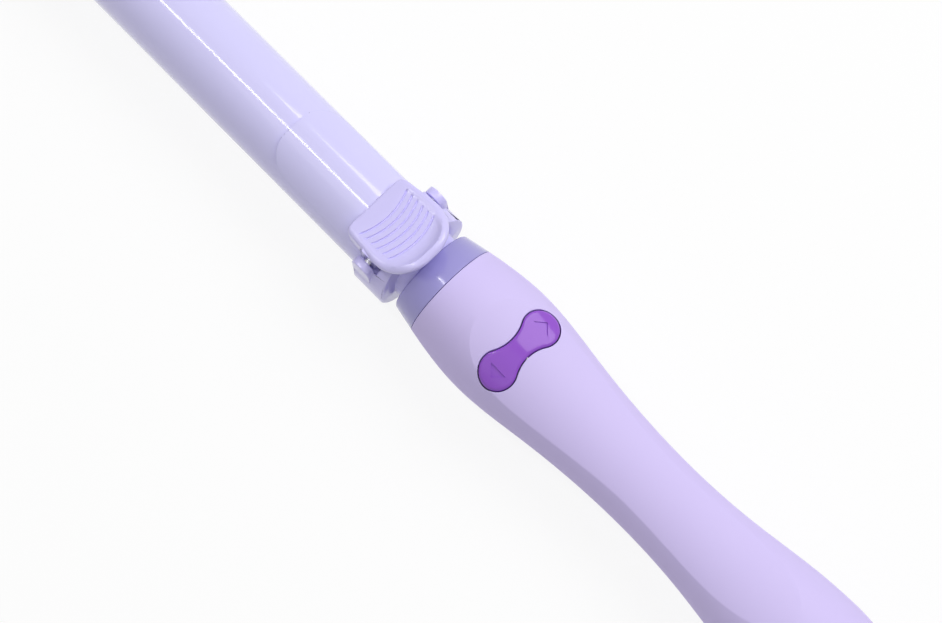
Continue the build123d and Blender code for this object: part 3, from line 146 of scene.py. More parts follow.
def quarter(steps: int) -> list[float]:
    """Evenly spaced angles of a quarter turn.

    Args:
        steps: Steps of the turn.

    Returns:
        The angles, in radians, from 0.
    """
    return spread(0.0, math.pi / 2, steps)


def portion(part: float, whole: float) -> float:
    """Part of a whole, held between 0 and 1.

    Args:
        part: The part.
        whole: The whole.

    Returns:
        The share.
    """
    return min(max(part / whole, 0.0), 1.0)


def eased(share: float) -> float:
    """Share that starts and ends gently.

    Args:
        share: Even share.

    Returns:
        The eased share.
    """
    return share**2 * (3 - 2 * share)


def fall(radius: float, past: float) -> float:
    """How far a quarter round has fallen at a distance past its start.

    Args:
        radius: Radius of the round.
        past: Distance past its start.

    Returns:
        The drop.
    """
    return radius - math.sqrt(max(radius**2 - max(past, 0.0) ** 2, 0.0))


def arc(centre: tuple[float, float], radius: float, start: float, end: float, steps: int) -> Section:
    """Points of an arc, with angles in degrees from the first axis to the second.

    Args:
        centre: Centre.
        radius: Radius.
        start: First angle.
        end: Last angle.
        steps: Steps between them.

    Returns:
        The points, with both ends.
    """
    angles = [math.radians(angle) for angle in spread(start, end, steps)]
    return [(centre[0] + radius * math.cos(a), centre[1] + radius * math.sin(a)) for a in angles]


class Outline:
    """Smooth line through a few measured points, such as the side view of the handle."""

    def __init__(self, points: Sequence[tuple[float, float]]) -> None:
        """Fit a cubic line that is smooth in slope and bend.

        Args:
            points: Stations and heights, in order along the line.
        """
        steps = [0.0]
        for (x0, y0), (x1, y1) in zip(points, points[1:]):
            steps.append(steps[-1] + math.hypot(x1 - x0, y1 - y0))
        axes = [self._solve(steps, [p[axis] for p in points]) for axis in (0, 1)]
        samples: list[tuple[float, float]] = []
        for i in range(len(points) - 1):
            for k in range(SPAN_STEPS):
                u = k / SPAN_STEPS
                samples.append(tuple(self._hermite(steps, points, axes, i, u, axis) for axis in (0, 1)))
        samples.append(points[-1])
        samples.sort()
        self._xs = [s[0] for s in samples]
        self._ys = [s[1] for s in samples]

    @staticmethod
    def _end_slope(t: Sequence[float], v: Sequence[float]) -> float:
        """Slope at the first of four points, of the cubic through them.

        Args:
            t: Distance along the line at the four points.
            v: One coordinate of each point.

        Returns:
            The slope.
        """
        slope = 0.0
        for j in range(4):
            others = [m for m in range(4) if m != j]
            scale = 1.0
            for m in others:
                scale *= t[j] - t[m]
            total = 0.0
            for skip in others:
                product = 1.0
                for m in others:
                    if m != skip:
                        product *= t[0] - t[m]
                total += product
            slope += v[j] * total / scale
        return slope

    def _solve(self, t: Sequence[float], v: Sequence[float]) -> list[float]:
        """Slopes at all points.

        Args:
            t: Distance along the line at each point.
            v: One coordinate of each point.

        Returns:
            The slope of that coordinate at each point.
        """
        n = len(t)
        first = self._end_slope(t[:4], v[:4])
        last = self._end_slope(t[::-1][:4], v[::-1][:4])
        upper = [0.0] * n
        right = [first] + [0.0] * (n - 1)
        for i in range(1, n - 1):
            before, after = t[i] - t[i - 1], t[i + 1] - t[i]
            main = 2 * (1 / before + 1 / after)
            want = 3 * ((v[i] - v[i - 1]) / before**2 + (v[i + 1] - v[i]) / after**2)
            pivot = main - upper[i - 1] / before
            upper[i] = 1 / after / pivot
            right[i] = (want - right[i - 1] / before) / pivot
        slopes = [0.0] * n
        slopes[-1] = last
        for i in range(n - 2, -1, -1):
            slopes[i] = right[i] - upper[i] * slopes[i + 1]
        return slopes

    @staticmethod
    def _hermite(
        t: Sequence[float],
        points: Sequence[tuple[float, float]],
        slopes: Sequence[Sequence[float]],
        i: int,
        u: float,
        axis: int,
    ) -> float:
        """One coordinate at a share u of the span that starts at point i.

        Args:
            t: Distance along the line at each point.
            points: The points.
            slopes: Slope at each point, for both coordinates.
            i: Number of the span's first point.
            u: Share of the span.
            axis: 0 for the station, 1 for the height.

        Returns:
            The coordinate.
        """
        span = t[i + 1] - t[i]
        a, b = points[i][axis], points[i + 1][axis]
        da, db = slopes[axis][i] * span, slopes[axis][i + 1] * span
        return (
            (2 * u**3 - 3 * u**2 + 1) * a
            + (u**3 - 2 * u**2 + u) * da
            + (3 * u**2 - 2 * u**3) * b
            + (u**3 - u**2) * db
        )

    def at(self, x: float) -> float:
        """Height at a station.

        Args:
            x: Station.

        Returns:
            The height; past an end the line runs on straight.
        """
        k = min(max(bisect.bisect_left(self._xs, x), 1), len(self._xs) - 1)
        x0, x1 = self._xs[k - 1], self._xs[k]
        share = 0.0 if x1 == x0 else (x - x0) / (x1 - x0)
        return self._ys[k - 1] + (self._ys[k] - self._ys[k - 1]) * share


@dataclass
class HandleForm:
    """Round handle with a flatter arched front face and a flat to rest on."""

    round_points: tuple[tuple[float, float], ...] = (
        (0.0, 16.3),
        (-9.7, 18.3),
        (-33.0, 21.0),
        (-62.0, 18.05),
        (-98.0, 15.1),
        (-133.0, 16.5),
        (-158.0, 19.7),
        (-172.0, 20.7),
        (-190.0, 19.0),
        (-199.0, 13.5),
    )
    deck_points: tuple[tuple[float, float], ...] = (
        (0.0, 23.6),
        (-24.0, 20.6),
        (-66.0, 14.5),
        (-98.0, 13.1),
        (-133.0, 14.3),
        (-150.0, 17.3),
        (-199.0, 26.0),
    )
    deck_centre: float = -13.0
    rest: float = -20.4
    least_arch: float = 0.2
    crisp: float = 0.35

    def __post_init__(self) -> None:
        """Fit the two side lines."""
        self.round = Outline(self.round_points)
        self.deck = Outline(self.deck_points)

    def top(self, x: float, y: float, inset: float = 0.0) -> float:
        """Height of the front face above a point of the plan.

        Args:
            x: Station.
            y: Distance from the middle.
            inset: Distance inside the surface.

        Returns:
            The height.
        """
        ball = self.round.at(x) - inset
        arch = self.deck.at(x) - inset - self.deck_centre
        on_ball = math.sqrt(max(ball**2 - y**2, 0.0))
        on_arch = math.sqrt(max(arch**2 - y**2, 0.0)) + self.deck_centre
        return min(on_ball, on_arch)

    def upper(self, x: float, inset: float, side: int = 22, arch: int = 40) -> Section:
        """Upper half of a cross-section, from the left seam over the face to the right seam.

        Args:
            x: Station.
            inset: Distance inside the surface.
            side: Steps on each rounded side.
            arch: Steps across the arched face.

        Returns:
            Points (y, z).
        """
        ball = self.round.at(x) - inset
        reach = self.deck.at(x) - inset - self.deck_centre
        crossing = (reach**2 - ball**2 - self.deck_centre**2) / (-2 * self.deck_centre)
        edge = math.acos(min(max(crossing / ball, -1.0), 1.0))
        edge = max(edge, self.least_arch)
        first = edge + self.crisp / ball
        angles = spread(math.pi / 2, first, side - 1)
        left = [(ball * math.sin(angle), ball * math.cos(angle)) for angle in angles]
        half = ball * math.sin(edge)
        flat = half - self.crisp
        middle = [half, *spread(flat, -flat, arch), -half]
        face = [(y, self.top(x, y, inset)) for y in middle]
        return left + face + [(-y, z) for y, z in reversed(left)]

    def lower(self, x: float, inset: float, steps: int = 84) -> Section:
        """Lower half of a cross-section, from the left seam below to the right seam.

        Args:
            x: Station.
            inset: Distance inside the surface.
            steps: Steps around.

        Returns:
            Points (y, z).
        """
        ball = self.round.at(x) - inset
        angles = spread(math.pi / 2, 3 * math.pi / 2, steps)
        return [(ball * math.sin(a), max(ball * math.cos(a), self.rest + inset)) for a in angles]


class Bench:
    """Modelling with Blender's operators, in millimetres on the handle's axis."""

    def __init__(self, place: Place, nodes: dict[str, bpy.types.Object]) -> None:
        """Keep the place of the axis in the frame, and the CAD nodes."""
        self.place = place
        self.nodes = nodes

    def _begin(self, name: str) -> bpy.types.Object:
        """Name the primitive that was just added and open it for editing.

        Args:
            name: Name of the piece.

        Returns:
            The piece, in edit mode.
        """
        piece = bpy.context.active_object
        piece.name = name
        piece.data.name = name
        bpy.ops.object.mode_set(mode="EDIT")
        return piece

    def _end(self, piece: bpy.types.Object, outward: bool = True) -> bpy.types.Object:
        """Merge doubles, point the faces outwards and close the edit.

        Args:
            piece: The piece, in edit mode.
            outward: Whether its faces are turned outwards.

        Returns:
            The piece.
        """
        bpy.ops.mesh.select_all(action="SELECT")
        bpy.ops.mesh.remove_doubles(threshold=MERGE_WITHIN)
        bpy.ops.mesh.delete_loose(use_verts=True, use_edges=True, use_faces=False)
        bpy.ops.mesh.select_all(action="SELECT")
        if outward:
            bpy.ops.mesh.normals_make_consistent(inside=False)
        bpy.ops.object.mode_set(mode="OBJECT")
        self.settle(piece)
        return piece

    def pick(self, piece: bpy.types.Object) -> None:
        """Make a piece the only selected and active one.

        Args:
            piece: The piece.
        """
        bpy.ops.object.select_all(action="DESELECT")
        piece.select_set(True)
        bpy.context.view_layer.objects.active = piece

    def settle(self, piece: bpy.types.Object) -> None:
        """Move a piece's place into its mesh."""
        self.pick(piece)
        bpy.ops.object.transform_apply(location=True, rotation=True, scale=True)

    def _circle(self, name: str, count: int) -> bpy.types.Object:
        """Ring of points without a face, to be shaped into a profile or a section.

        Args:
            name: Name of the piece.
            count: Number of points.

        Returns:
            The piece, in edit mode.
        """
        bpy.ops.object.select_all(action="DESELECT")
        bpy.ops.mesh.primitive_circle_add(vertices=count, radius=MM, location=(0, 0, 0))
        return self._begin(name)

    @staticmethod
    def _shape(piece: bpy.types.Object, points: Sequence[Vector]) -> None:
        """Put the points of an edited ring where they belong, in order.

        Args:
            piece: The piece, in edit mode.
            points: Place of each point, in metres.
        """
        mesh = bmesh.from_edit_mesh(piece.data)
        mesh.verts.ensure_lookup_table()
        for vert, point in zip(mesh.verts, points):
            vert.co = point
        bmesh.update_edit_mesh(piece.data)

    def spun(self, name: str, profile: Sequence[tuple[float, float]], steps: int) -> bpy.types.Object:
        """Body turned about the barrel's axis from a closed profile of stations and radii."""
        centre = self.place.spot(0, 0, 0)
        return self._spin(name, [self.place.spot(x, 0, r) for x, r in profile], centre, (1, 0, 0), steps)

    def spun_up(
        self, name: str, x: float, profile: Sequence[tuple[float, float]], steps: int = 48
    ) -> bpy.types.Object:
        """Body turned about an upright line at a station, from a closed profile of radii and heights."""
        centre = self.place.spot(x, 0, 0)
        return self._spin(name, [self.place.spot(x + r, 0, z) for r, z in profile], centre, (0, 0, 1), steps)

    def _spin(
        self, name: str, points: Sequence[Vector], centre: Vector, axis: Sequence[float], steps: int
    ) -> bpy.types.Object:
        """Spin a ring of points about a line, and close the seam and the poles.

        Args:
            name: Name of the piece.
            points: Points of the ring, in metres.
            centre: A point on the line.
            axis: Direction of the line.
            steps: Steps around.

        Returns:
            The piece.
        """
        piece = self._circle(name, len(points))
        self._shape(piece, points)
        bpy.ops.mesh.select_all(action="SELECT")
        bpy.ops.mesh.spin(steps=steps, angle=2 * math.pi, center=centre, axis=axis)
        return self._end(piece)

    def lofted(self, name: str, loops: Sequence[Sequence[Vector]]) -> bpy.types.Object:
        """Body through closed loops of equal point counts, capped at both ends.

        Args:
            name: Name of the piece.
            loops: Points of each loop, in metres.

        Returns:
            The piece.
        """
        piece = self._circle(name, len(loops[0]))
        self._shape(piece, loops[0])
        bpy.ops.mesh.select_mode(type="VERT")
        bpy.ops.mesh.select_all(action="SELECT")
        bpy.ops.mesh.edge_face_add()
        keys = {self._key(point): i for i, point in enumerate(loops[0])}
        for loop in loops[1:]:
            bpy.ops.mesh.extrude_region_move(TRANSFORM_OT_translate={"value": (0, 0, 0)})
            mesh = bmesh.from_edit_mesh(piece.data)
            for vert in mesh.verts:
                if vert.select:
                    vert.co = loop[keys[self._key(vert.co)]]
            keys = {self._key(point): i for i, point in enumerate(loop)}
            bmesh.update_edit_mesh(piece.data)
        bpy.ops.mesh.quads_convert_to_tris(quad_method="BEAUTY", ngon_method="BEAUTY")
        return self._end(piece)

    @staticmethod
    def _key(point: Vector) -> tuple[int, int, int]:
        """Place of a point to a tenth of a micrometre, to find it again."""
        return tuple(round(c * KEY_STEPS_PER_METRE) for c in point)

    def column(
        self, name: str, plan: Sequence[tuple[float, float]], low: float, high: float
    ) -> bpy.types.Object:
        """Upright body with a plan of (x, y) points.

        Args:
            name: Name of the piece.
            plan: Points of the plan, in order.
            low: Height of its lower end.
            high: Height of its upper end.

        Returns:
            The piece.
        """
        piece = self._circle(name, len(plan))
        self._shape(piece, [self.place.spot(x, y, low) for x, y in plan])
        bpy.ops.mesh.select_all(action="SELECT")
        bpy.ops.mesh.edge_face_add()
        bpy.ops.mesh.extrude_region_move(TRANSFORM_OT_translate={"value": (0, 0, (high - low) * MM)})
        return self._end(piece)

    def prism(
        self, name: str, outline: Sequence[tuple[float, float]], width: float, start: float | None = None
    ) -> bpy.types.Object:
        """Body with a side view of (x, z) points.

        Args:
            name: Name of the piece.
            outline: Points of the side view, in order.
            width: Width across the axis.
            start: Where its right side lies; without it the body is centred.

        Returns:
            The piece.
        """
        right = -width / 2 if start is None else start
        piece = self._circle(name, len(outline))
        self._shape(piece, [self.place.spot(x, right, z) for x, z in outline])
        bpy.ops.mesh.select_all(action="SELECT")
        bpy.ops.mesh.edge_face_add()
        bpy.ops.mesh.extrude_region_move(TRANSFORM_OT_translate={"value": (0, width * MM, 0)})
        return self._end(piece)

    def cad_copy(self, node: str) -> bpy.types.Object:
        """Copy of a CAD node's shape, merged into closed bodies.

        Args:
            node: Name of the CAD node.

        Returns:
            The copy.
        """
        source = self.nodes[node]
        copy = bpy.data.objects.new(f"{node}_tool", source.data.copy())
        bpy.context.scene.collection.objects.link(copy)
        copy.matrix_world = source.matrix_world.copy()
        self.pick(copy)
        bpy.ops.object.mode_set(mode="EDIT")
        return self._end(copy)

    def drop_to(self, piece: bpy.types.Object, low: float) -> bpy.types.Object:
        """Make a sheet the top of a body that reaches down to a flat floor.

        Args:
            piece: The sheet.
            low: Height of the floor.

        Returns:
            The body.
        """
        self.pick(piece)
        bpy.ops.object.mode_set(mode="EDIT")
        bpy.ops.mesh.select_all(action="SELECT")
        bpy.ops.mesh.extrude_region_move(TRANSFORM_OT_translate={"value": (0, 0, 0)})
        mesh = bmesh.from_edit_mesh(piece.data)
        for vert in mesh.verts:
            if vert.select:
                vert.co.z = self.place.spot(0, 0, low).z
        bmesh.update_edit_mesh(piece.data)
        return self._end(piece)

    def box(self, name: str, low: Sequence[float], high: Sequence[float]) -> bpy.types.Object:
        """Box between two corners, as a tool or a start.

        Args:
            name: Name of the piece.
            low: Corner with the lowest coordinates.
            high: The opposite corner.

        Returns:
            The box.
        """
        bpy.ops.object.select_all(action="DESELECT")
        middle = self.place.spot(*((a + b) / 2 for a, b in zip(low, high)))
        sides = [(b - a) * MM for a, b in zip(low, high)]
        bpy.ops.mesh.primitive_cube_add(size=1, location=middle, scale=sides)
        return self._end(self._begin(name))

    def rod(
        self, name: str, way: Way, start: Sequence[float], length: float, radius: float
    ) -> bpy.types.Object:
        """Round bar from a point along one axis, as a tool or a start.

        Args:
            name: Name of the piece.
            way: Direction of its axis.
            start: Middle of one end.
            length: Length along the axis.
            radius: Radius.

        Returns:
            The bar.
        """
        step = {Way.ALONG: (1, 0, 0), Way.ACROSS: (0, 1, 0), Way.UP: (0, 0, 1)}[way]
        middle = self.place.spot(*(s + d * length / 2 for s, d in zip(start, step)))
        bpy.ops.object.select_all(action="DESELECT")
        bpy.ops.mesh.primitive_cylinder_add(
            vertices=BAR_SIDES,
            radius=radius * MM,
            depth=length * MM,
            location=middle,
            rotation=way.value,
        )
        return self._end(self._begin(name))

    def patch(self, name: str, grid: Sequence[Sequence[Vector]]) -> bpy.types.Object:
        """Open sheet through a grid of points.

        Args:
            name: Name of the piece.
            grid: Rows of points, in metres.

        Returns:
            The sheet.
        """
        rows, columns = len(grid), len(grid[0])
        bpy.ops.object.select_all(action="DESELECT")
        bpy.ops.mesh.primitive_grid_add(x_subdivisions=columns - 1, y_subdivisions=rows - 1, size=1)
        piece = self._begin(name)
        mesh = bmesh.from_edit_mesh(piece.data)
        for vert in mesh.verts:
            column = round((vert.co.x + 0.5) * (columns - 1))
            row = round((vert.co.y + 0.5) * (rows - 1))
            vert.co = grid[row][column]
        mesh.normal_update()
        if sum(face.normal.z for face in mesh.faces) < 0:
            bmesh.ops.reverse_faces(mesh, faces=mesh.faces)
        bmesh.update_edit_mesh(piece.data)
        return self._end(piece, outward=False)

    def _close(self, piece: bpy.types.Object) -> None:
        """Merge the doubles that a cut leaves, so that the next one meets a closed body.

        Args:
            piece: The piece.
        """
        self.pick(piece)
        bpy.ops.object.mode_set(mode="EDIT")
        bpy.ops.mesh.select_all(action="SELECT")
        bpy.ops.mesh.remove_doubles(threshold=MERGE_WITHIN)
        bpy.ops.mesh.dissolve_degenerate(threshold=MERGE_WITHIN)
        bpy.ops.object.mode_set(mode="OBJECT")

    def combine(
        self,
        piece: bpy.types.Object,
        tools: Iterable[bpy.types.Object],
        operation: str,
        close: bool = False,
    ) -> bpy.types.Object:
        """Join, cut or intersect a piece with tools, which are used up.

        Args:
            piece: The piece that stays.
            tools: Bodies that act on it in turn.
            operation: UNION or DIFFERENCE.
            close: Whether doubles are merged after each tool.

        Returns:
            The piece.
        """
        for tool in tools:
            self.pick(piece)
            modifier = piece.modifiers.new("combine", "BOOLEAN")
            modifier.operation = operation
            modifier.solver = "EXACT"
            modifier.object = tool
            bpy.ops.object.modifier_apply(modifier=modifier.name)
            bpy.data.objects.remove(tool)
            if close:
                self._close(piece)
        return piece

    def thicken(self, piece: bpy.types.Object, thickness: float, offset: float) -> bpy.types.Object:
        """Give a sheet its thickness.

        Args:
            piece: The sheet.
            thickness: Thickness.
            offset: -1 grows it below its normals, 1 above them.

        Returns:
            The piece.
        """
        self.pick(piece)
        modifier = piece.modifiers.new("thickness", "SOLIDIFY")
        modifier.thickness = thickness * MM
        modifier.offset = offset
        modifier.use_even_offset = True
        bpy.ops.object.modifier_apply(modifier=modifier.name)
        return piece

    def soften(self, piece: bpy.types.Object, width: float) -> bpy.types.Object:
        """Round the sharp edges of a piece and shade it smoothly.

        Args:
            piece: The piece.
            width: Width of the rounding, or 0 for none.

        Returns:
            The piece.
        """
        self.pick(piece)
        if width > 0:
            modifier = piece.modifiers.new("edges", "BEVEL")
            modifier.width = width * MM
            modifier.segments = EDGE_STEPS
            modifier.limit_method = "ANGLE"
            modifier.angle_limit = SHARP_ABOVE
            modifier.use_clamp_overlap = False
            modifier.harden_normals = False
            bpy.ops.object.modifier_apply(modifier=modifier.name)
        bpy.ops.object.shade_smooth_by_angle(angle=SMOOTH_BELOW)
        return piece

    def even_normals(self, piece: bpy.types.Object) -> bpy.types.Object:
        """Let large faces settle the shading, so that slivers don't show.

        Args:
            piece: The piece.

        Returns:
            The piece.
        """
        self.pick(piece)
        modifier = piece.modifiers.new("normals", "WEIGHTED_NORMAL")
        modifier.keep_sharp = True
        bpy.ops.object.modifier_apply(modifier=modifier.name)
        return piece

    def mirrored(self, piece: bpy.types.Object) -> bpy.types.Object:
        """Mirror image of a piece across the plane through the axis and the buttons.

        Args:
            piece: The piece.

        Returns:
            The mirror image.
        """
        copy = piece.copy()
        copy.data = piece.data.copy()
        copy.name = f"{piece.name}_2"
        copy.data.transform(Matrix.Scale(-1, 4, (0, 1, 0)))
        bpy.context.scene.collection.objects.link(copy)
        self.pick(copy)
        bpy.ops.object.mode_set(mode="EDIT")
        return self._end(copy)


class Value:
    """A number that varies over a surface, taken from one socket of a material's nodes."""

    def __init__(self, nodes: "Nodes", socket: bpy.types.NodeSocket) -> None:
        """Wrap a socket."""
        self.nodes = nodes
        self.socket = socket

    def __add__(self, other: "Value | float") -> "Value":
        """Sum."""
        return self.nodes.sum_up("ADD", self, other)

    def __radd__(self, other: float) -> "Value":
        """Sum with a number on the left."""
        return self.nodes.sum_up("ADD", other, self)

    def __sub__(self, other: "Value | float") -> "Value":
        """Difference."""
        return self.nodes.sum_up("SUBTRACT", self, other)

    def __rsub__(self, other: float) -> "Value":
        """Difference from a number."""
        return self.nodes.sum_up("SUBTRACT", other, self)

    def __mul__(self, other: "Value | float") -> "Value":
        """Product."""
        return self.nodes.sum_up("MULTIPLY", self, other)

    def __rmul__(self, other: float) -> "Value":
        """Product with a number on the left."""
        return self.nodes.sum_up("MULTIPLY", other, self)


class Nodes:
    """Shader nodes of one material, ending in a principled surface."""

    def __init__(self, name: str) -> None:
        """Start a material with its surface and a place in millimetres.

        Args:
            name: Name of the material.
        """
        self.material = bpy.data.materials.new(name)
        self.material.use_nodes = True
        self.tree = self.material.node_tree
        self.surface = self.tree.nodes["Principled BSDF"]
        place = self.node("ShaderNodeTexCoord", output="Object")
        scaled = {"Vector": place, "Scale": (1 / MM, 1 / MM, 1 / MM)}
        self.place = self.node("ShaderNodeMapping", {"vector_type": "POINT"}, scaled)

    @classmethod
    def of_world(cls, world: bpy.types.World) -> "Nodes":
        """Nodes of the surroundings, which have no surface.

        Args:
            world: The surroundings.

        Returns:
            Their nodes.
        """
        nodes = cls.__new__(cls)
        nodes.tree = world.node_tree
        return nodes

    def node(
        self,
        kind: str,
        settings: dict[str, object] | None = None,
        values: dict[str | int, object] | None = None,
        output: str | int = 0,
    ) -> Value:
        """Add a node.

        Args:
            kind: Blender's name of the node type.
            settings: Properties of the node, set first.
            values: Numbers, colours or links of its input sockets.
            output: Which output to give back.

        Returns:
            The output.
        """
        node = self.tree.nodes.new(kind)
        for key, setting in (settings or {}).items():
            setattr(node, key, setting)
        for key, value in (values or {}).items():
            if isinstance(value, Value):
                self.tree.links.new(value.socket, node.inputs[key])
            else:
                node.inputs[key].default_value = value
        return Value(self, node.outputs[output])

    def sum_up(self, operation: str, a: Value | float, b: Value | float) -> Value:
        """Math node on two numbers."""
        return self.node("ShaderNodeMath", {"operation": operation}, {0: a, 1: b})

    def cloud(self, size: float, detail: float = 2.0) -> Value:
        """Soft noise with features of a size in millimetres."""
        values = {"Vector": self.place, "Scale": 1 / size, "Detail": detail}
        return self.node("ShaderNodeTexNoise", {}, values)

    def blend(self, share: Value, a: Sequence[float], b: Sequence[float]) -> Value:
        """Colour between two, by a share."""
        values = {0: share, 6: (*a, 1.0), 7: (*b, 1.0)}
        return self.node("ShaderNodeMix", {"data_type": "RGBA"}, values, output=2)

    def feed(self, socket: str, value: Value | Sequence[float] | float) -> None:
        """Give a socket of the surface its value or link.

        Args:
            socket: Name of the socket.
            value: Number, colour or link.
        """
        if isinstance(value, Value):
            self.tree.links.new(value.socket, self.surface.inputs[socket])
        else:
            self.surface.inputs[socket].default_value = value

    def bump(self, height: Value, depth: float, strength: float) -> None:
        """Raise the surface by a height between 0 and 1, times a depth in millimetres."""
        values = {"Height": height, "Distance": depth * MM, "Strength": strength}
        self.feed("Normal", self.node("ShaderNodeBump", {}, values))


@dataclass(frozen=True)
class Finish:
    """Moulded, painted or metal finish with slight unevenness."""

    slot: str
    colour: tuple[float, float, float]
    worn: tuple[float, float, float]
    roughness: float
    roughness_play: float = 0.03
    metallic: float = 0.0
    coat: float = 0.0
    coat_roughness: float = 0.05
    specular: float = 0.5
    grain: float = 0.3
    grain_depth: float = 0.004
    patch: float = 14.0

    def material(self) -> bpy.types.Material:
        """Material of this finish, made on first use."""
        found = bpy.data.materials.get(f"{self.slot}_finish")
        return found or self._make()

    def _make(self) -> bpy.types.Material:
        """Build the material's nodes.

        Returns:
            The material.
        """
        nodes = Nodes(f"{self.slot}_finish")
        clouds = nodes.cloud(self.patch)
        grain = nodes.cloud(self.grain, detail=3.0)
        nodes.feed("Base Color", nodes.blend(clouds, self.colour, self.worn))
        nodes.feed("Roughness", self.roughness + (grain - 0.5) * 2 * self.roughness_play)
        nodes.feed("Metallic", self.metallic)
        nodes.feed("Coat Weight", self.coat)
        nodes.feed("Coat Roughness", self.coat_roughness)
        nodes.feed("Specular IOR Level", self.specular)
        nodes.bump(grain, self.grain_depth, 1.0)
        return nodes.material


class Finishes(Enum):
    """Finishes of the iron by the record's slots."""

    BARREL = Finish(
        "barrel_coat", (0.66, 0.63, 0.97), (0.67, 0.64, 0.975), 0.13, coat=0.3, grain_depth=0.0006
    )
    HANDLE = Finish(
        "handle_soft", (0.645, 0.557, 0.905), (0.655, 0.567, 0.91), 0.6, grain=0.22, specular=0.32
    )
    COLLAR = Finish(
        "collar_gloss", (0.33, 0.30, 0.65), (0.34, 0.31, 0.66), 0.18, coat=0.35, grain_depth=0.0006
    )
    LEVER = Finish(
        "lever_satin",
        (0.62, 0.575, 0.95),
        (0.63, 0.585, 0.955),
        0.3,
        coat=0.35,
        coat_roughness=0.1,
        grain_depth=0.001,
    )
    ROCKER = Finish(
        "rocker_gloss",
        (0.29, 0.085, 0.60),
        (0.30, 0.09, 0.61),
        0.1,
        coat=0.1,
        specular=0.22,
        grain_depth=0.0005,
    )
    LENS = Finish("lens_smoke", (0.05, 0.06, 0.12), (0.055, 0.065, 0.125), 0.05, coat=1.0, grain_depth=0.0)
    DARK = Finish("dark_plastic", (0.05, 0.045, 0.07), (0.06, 0.055, 0.08), 0.45)
    FRAME = Finish("frame_plastic", (0.52, 0.52, 0.56), (0.5, 0.5, 0.54), 0.5)
    NYLON = Finish("gear_nylon", (0.8, 0.79, 0.72), (0.78, 0.77, 0.7), 0.4)
    STEEL = Finish("steel", (0.6, 0.6, 0.62), (0.56, 0.56, 0.58), 0.28, metallic=1.0, roughness_play=0.06)
    BRONZE = Finish("bronze", (0.55, 0.36, 0.16), (0.48, 0.3, 0.13), 0.35, metallic=1.0)
    BRASS = Finish("contact_brass", (0.78, 0.58, 0.25), (0.72, 0.52, 0.22), 0.2, metallic=1.0)
    ALUMINIUM = Finish("heater_alu", (0.72, 0.73, 0.75), (0.68, 0.69, 0.71), 0.4, metallic=1.0)
    CERAMIC = Finish("heater_ceramic", (0.16, 0.16, 0.18), (0.2, 0.2, 0.22), 0.7)
    AMBER = Finish("insulation_amber", (0.62, 0.3, 0.05), (0.66, 0.34, 0.07), 0.3)
    MICA = Finish("mica", (0.55, 0.5, 0.42), (0.6, 0.55, 0.46), 0.35)
    SLEEVE = Finish("lead_sleeve", (0.75, 0.74, 0.7), (0.7, 0.69, 0.65), 0.55)
    CARBON = Finish("carbon", (0.03, 0.03, 0.03), (0.045, 0.045, 0.045), 0.6)
    BOARD = Finish("board_green", (0.02, 0.16, 0.06), (0.025, 0.18, 0.07), 0.4, coat=0.4)
    BLACK = Finish("component_black", (0.02, 0.02, 0.022), (0.03, 0.03, 0.032), 0.45)
    LAMP = Finish("lamp_blue", (0.25, 0.4, 0.85), (0.28, 0.43, 0.87), 0.15, coat=0.8)
    GLASS = Finish("fuse_glass", (0.75, 0.8, 0.8), (0.7, 0.76, 0.76), 0.08, coat=1.0)


@dataclass(frozen=True)
class Piece:
    """A modelled piece, with what it rides on and stands for."""

    shape: bpy.types.Object
    body: Body
    node: str
    finish: Finishes

    def fit(self) -> None:
        """Dress the piece and tie it to the frame."""
        self.shape.data.materials.clear()
        self.shape.data.materials.append(self.finish.value.material())
        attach(self.shape, self.body.value)
        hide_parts(self.node)
        log.info("%s stands for %s: %d faces", self.shape.name, self.node, len(self.shape.data.polygons))


@dataclass
class Barrel:
    """Heated tube with its cool tip."""

    radius: float = 15.875
    wall: float = 1.2
    start: float = 11.0
    end: float = 168.0
    fit: float = 0.03
    tip_radius: float = 15.7
    tip_length: float = 22.0
    tip_plug: float = 10.0
    tip_wall: float = 2.5
    tip_round: float = 6.0
    sides: int = 144

    def tube(self, bench: Bench) -> Piece:
        """The tube, with slightly broken edges.

        Args:
            bench: Where it is made.

        Returns:
            The piece.
        """
        bore = self.radius - self.wall
        profile = [(self.start, bore), (self.start, self.radius), (self.end, self.radius), (self.end, bore)]
        shape = bench.spun("heated_barrel", profile, self.sides)
        bench.combine(shape, [bench.cad_copy("barrel_screws")], "DIFFERENCE")
        return Piece(bench.soften(shape, width=0.15), Body.BARREL, "barrel_tube", Finishes.BARREL)

    def tip(self, bench: Bench) -> Piece:
        """The cool tip, rounded at its rim and hollow inside its plug.

        Args:
            bench: Where it is made.

        Returns:
            The piece.
        """
        plug = self.radius - self.wall - self.fit
        hollow = plug - self.tip_wall
        end = self.end + self.tip_length
        rim = arc((end - self.tip_round, self.tip_radius - self.tip_round), self.tip_round, 90, 0, 18)
        profile = [(self.end - self.tip_plug, hollow), (self.end - self.tip_plug, plug), (self.end, plug)]
        profile += [(self.end, self.tip_radius), *rim, (end, 0.0), (end - self.tip_wall, 0.0)]
        profile.append((end - self.tip_wall, hollow))
        shape = bench.spun("cool_tip", profile, self.sides)
        return Piece(bench.soften(shape, width=0.2), Body.BARREL, "tip_cap", Finishes.COLLAR)

    def build(self, bench: Bench) -> list[Piece]:
        """Make both pieces."""
        return [self.tube(bench), self.tip(bench)]


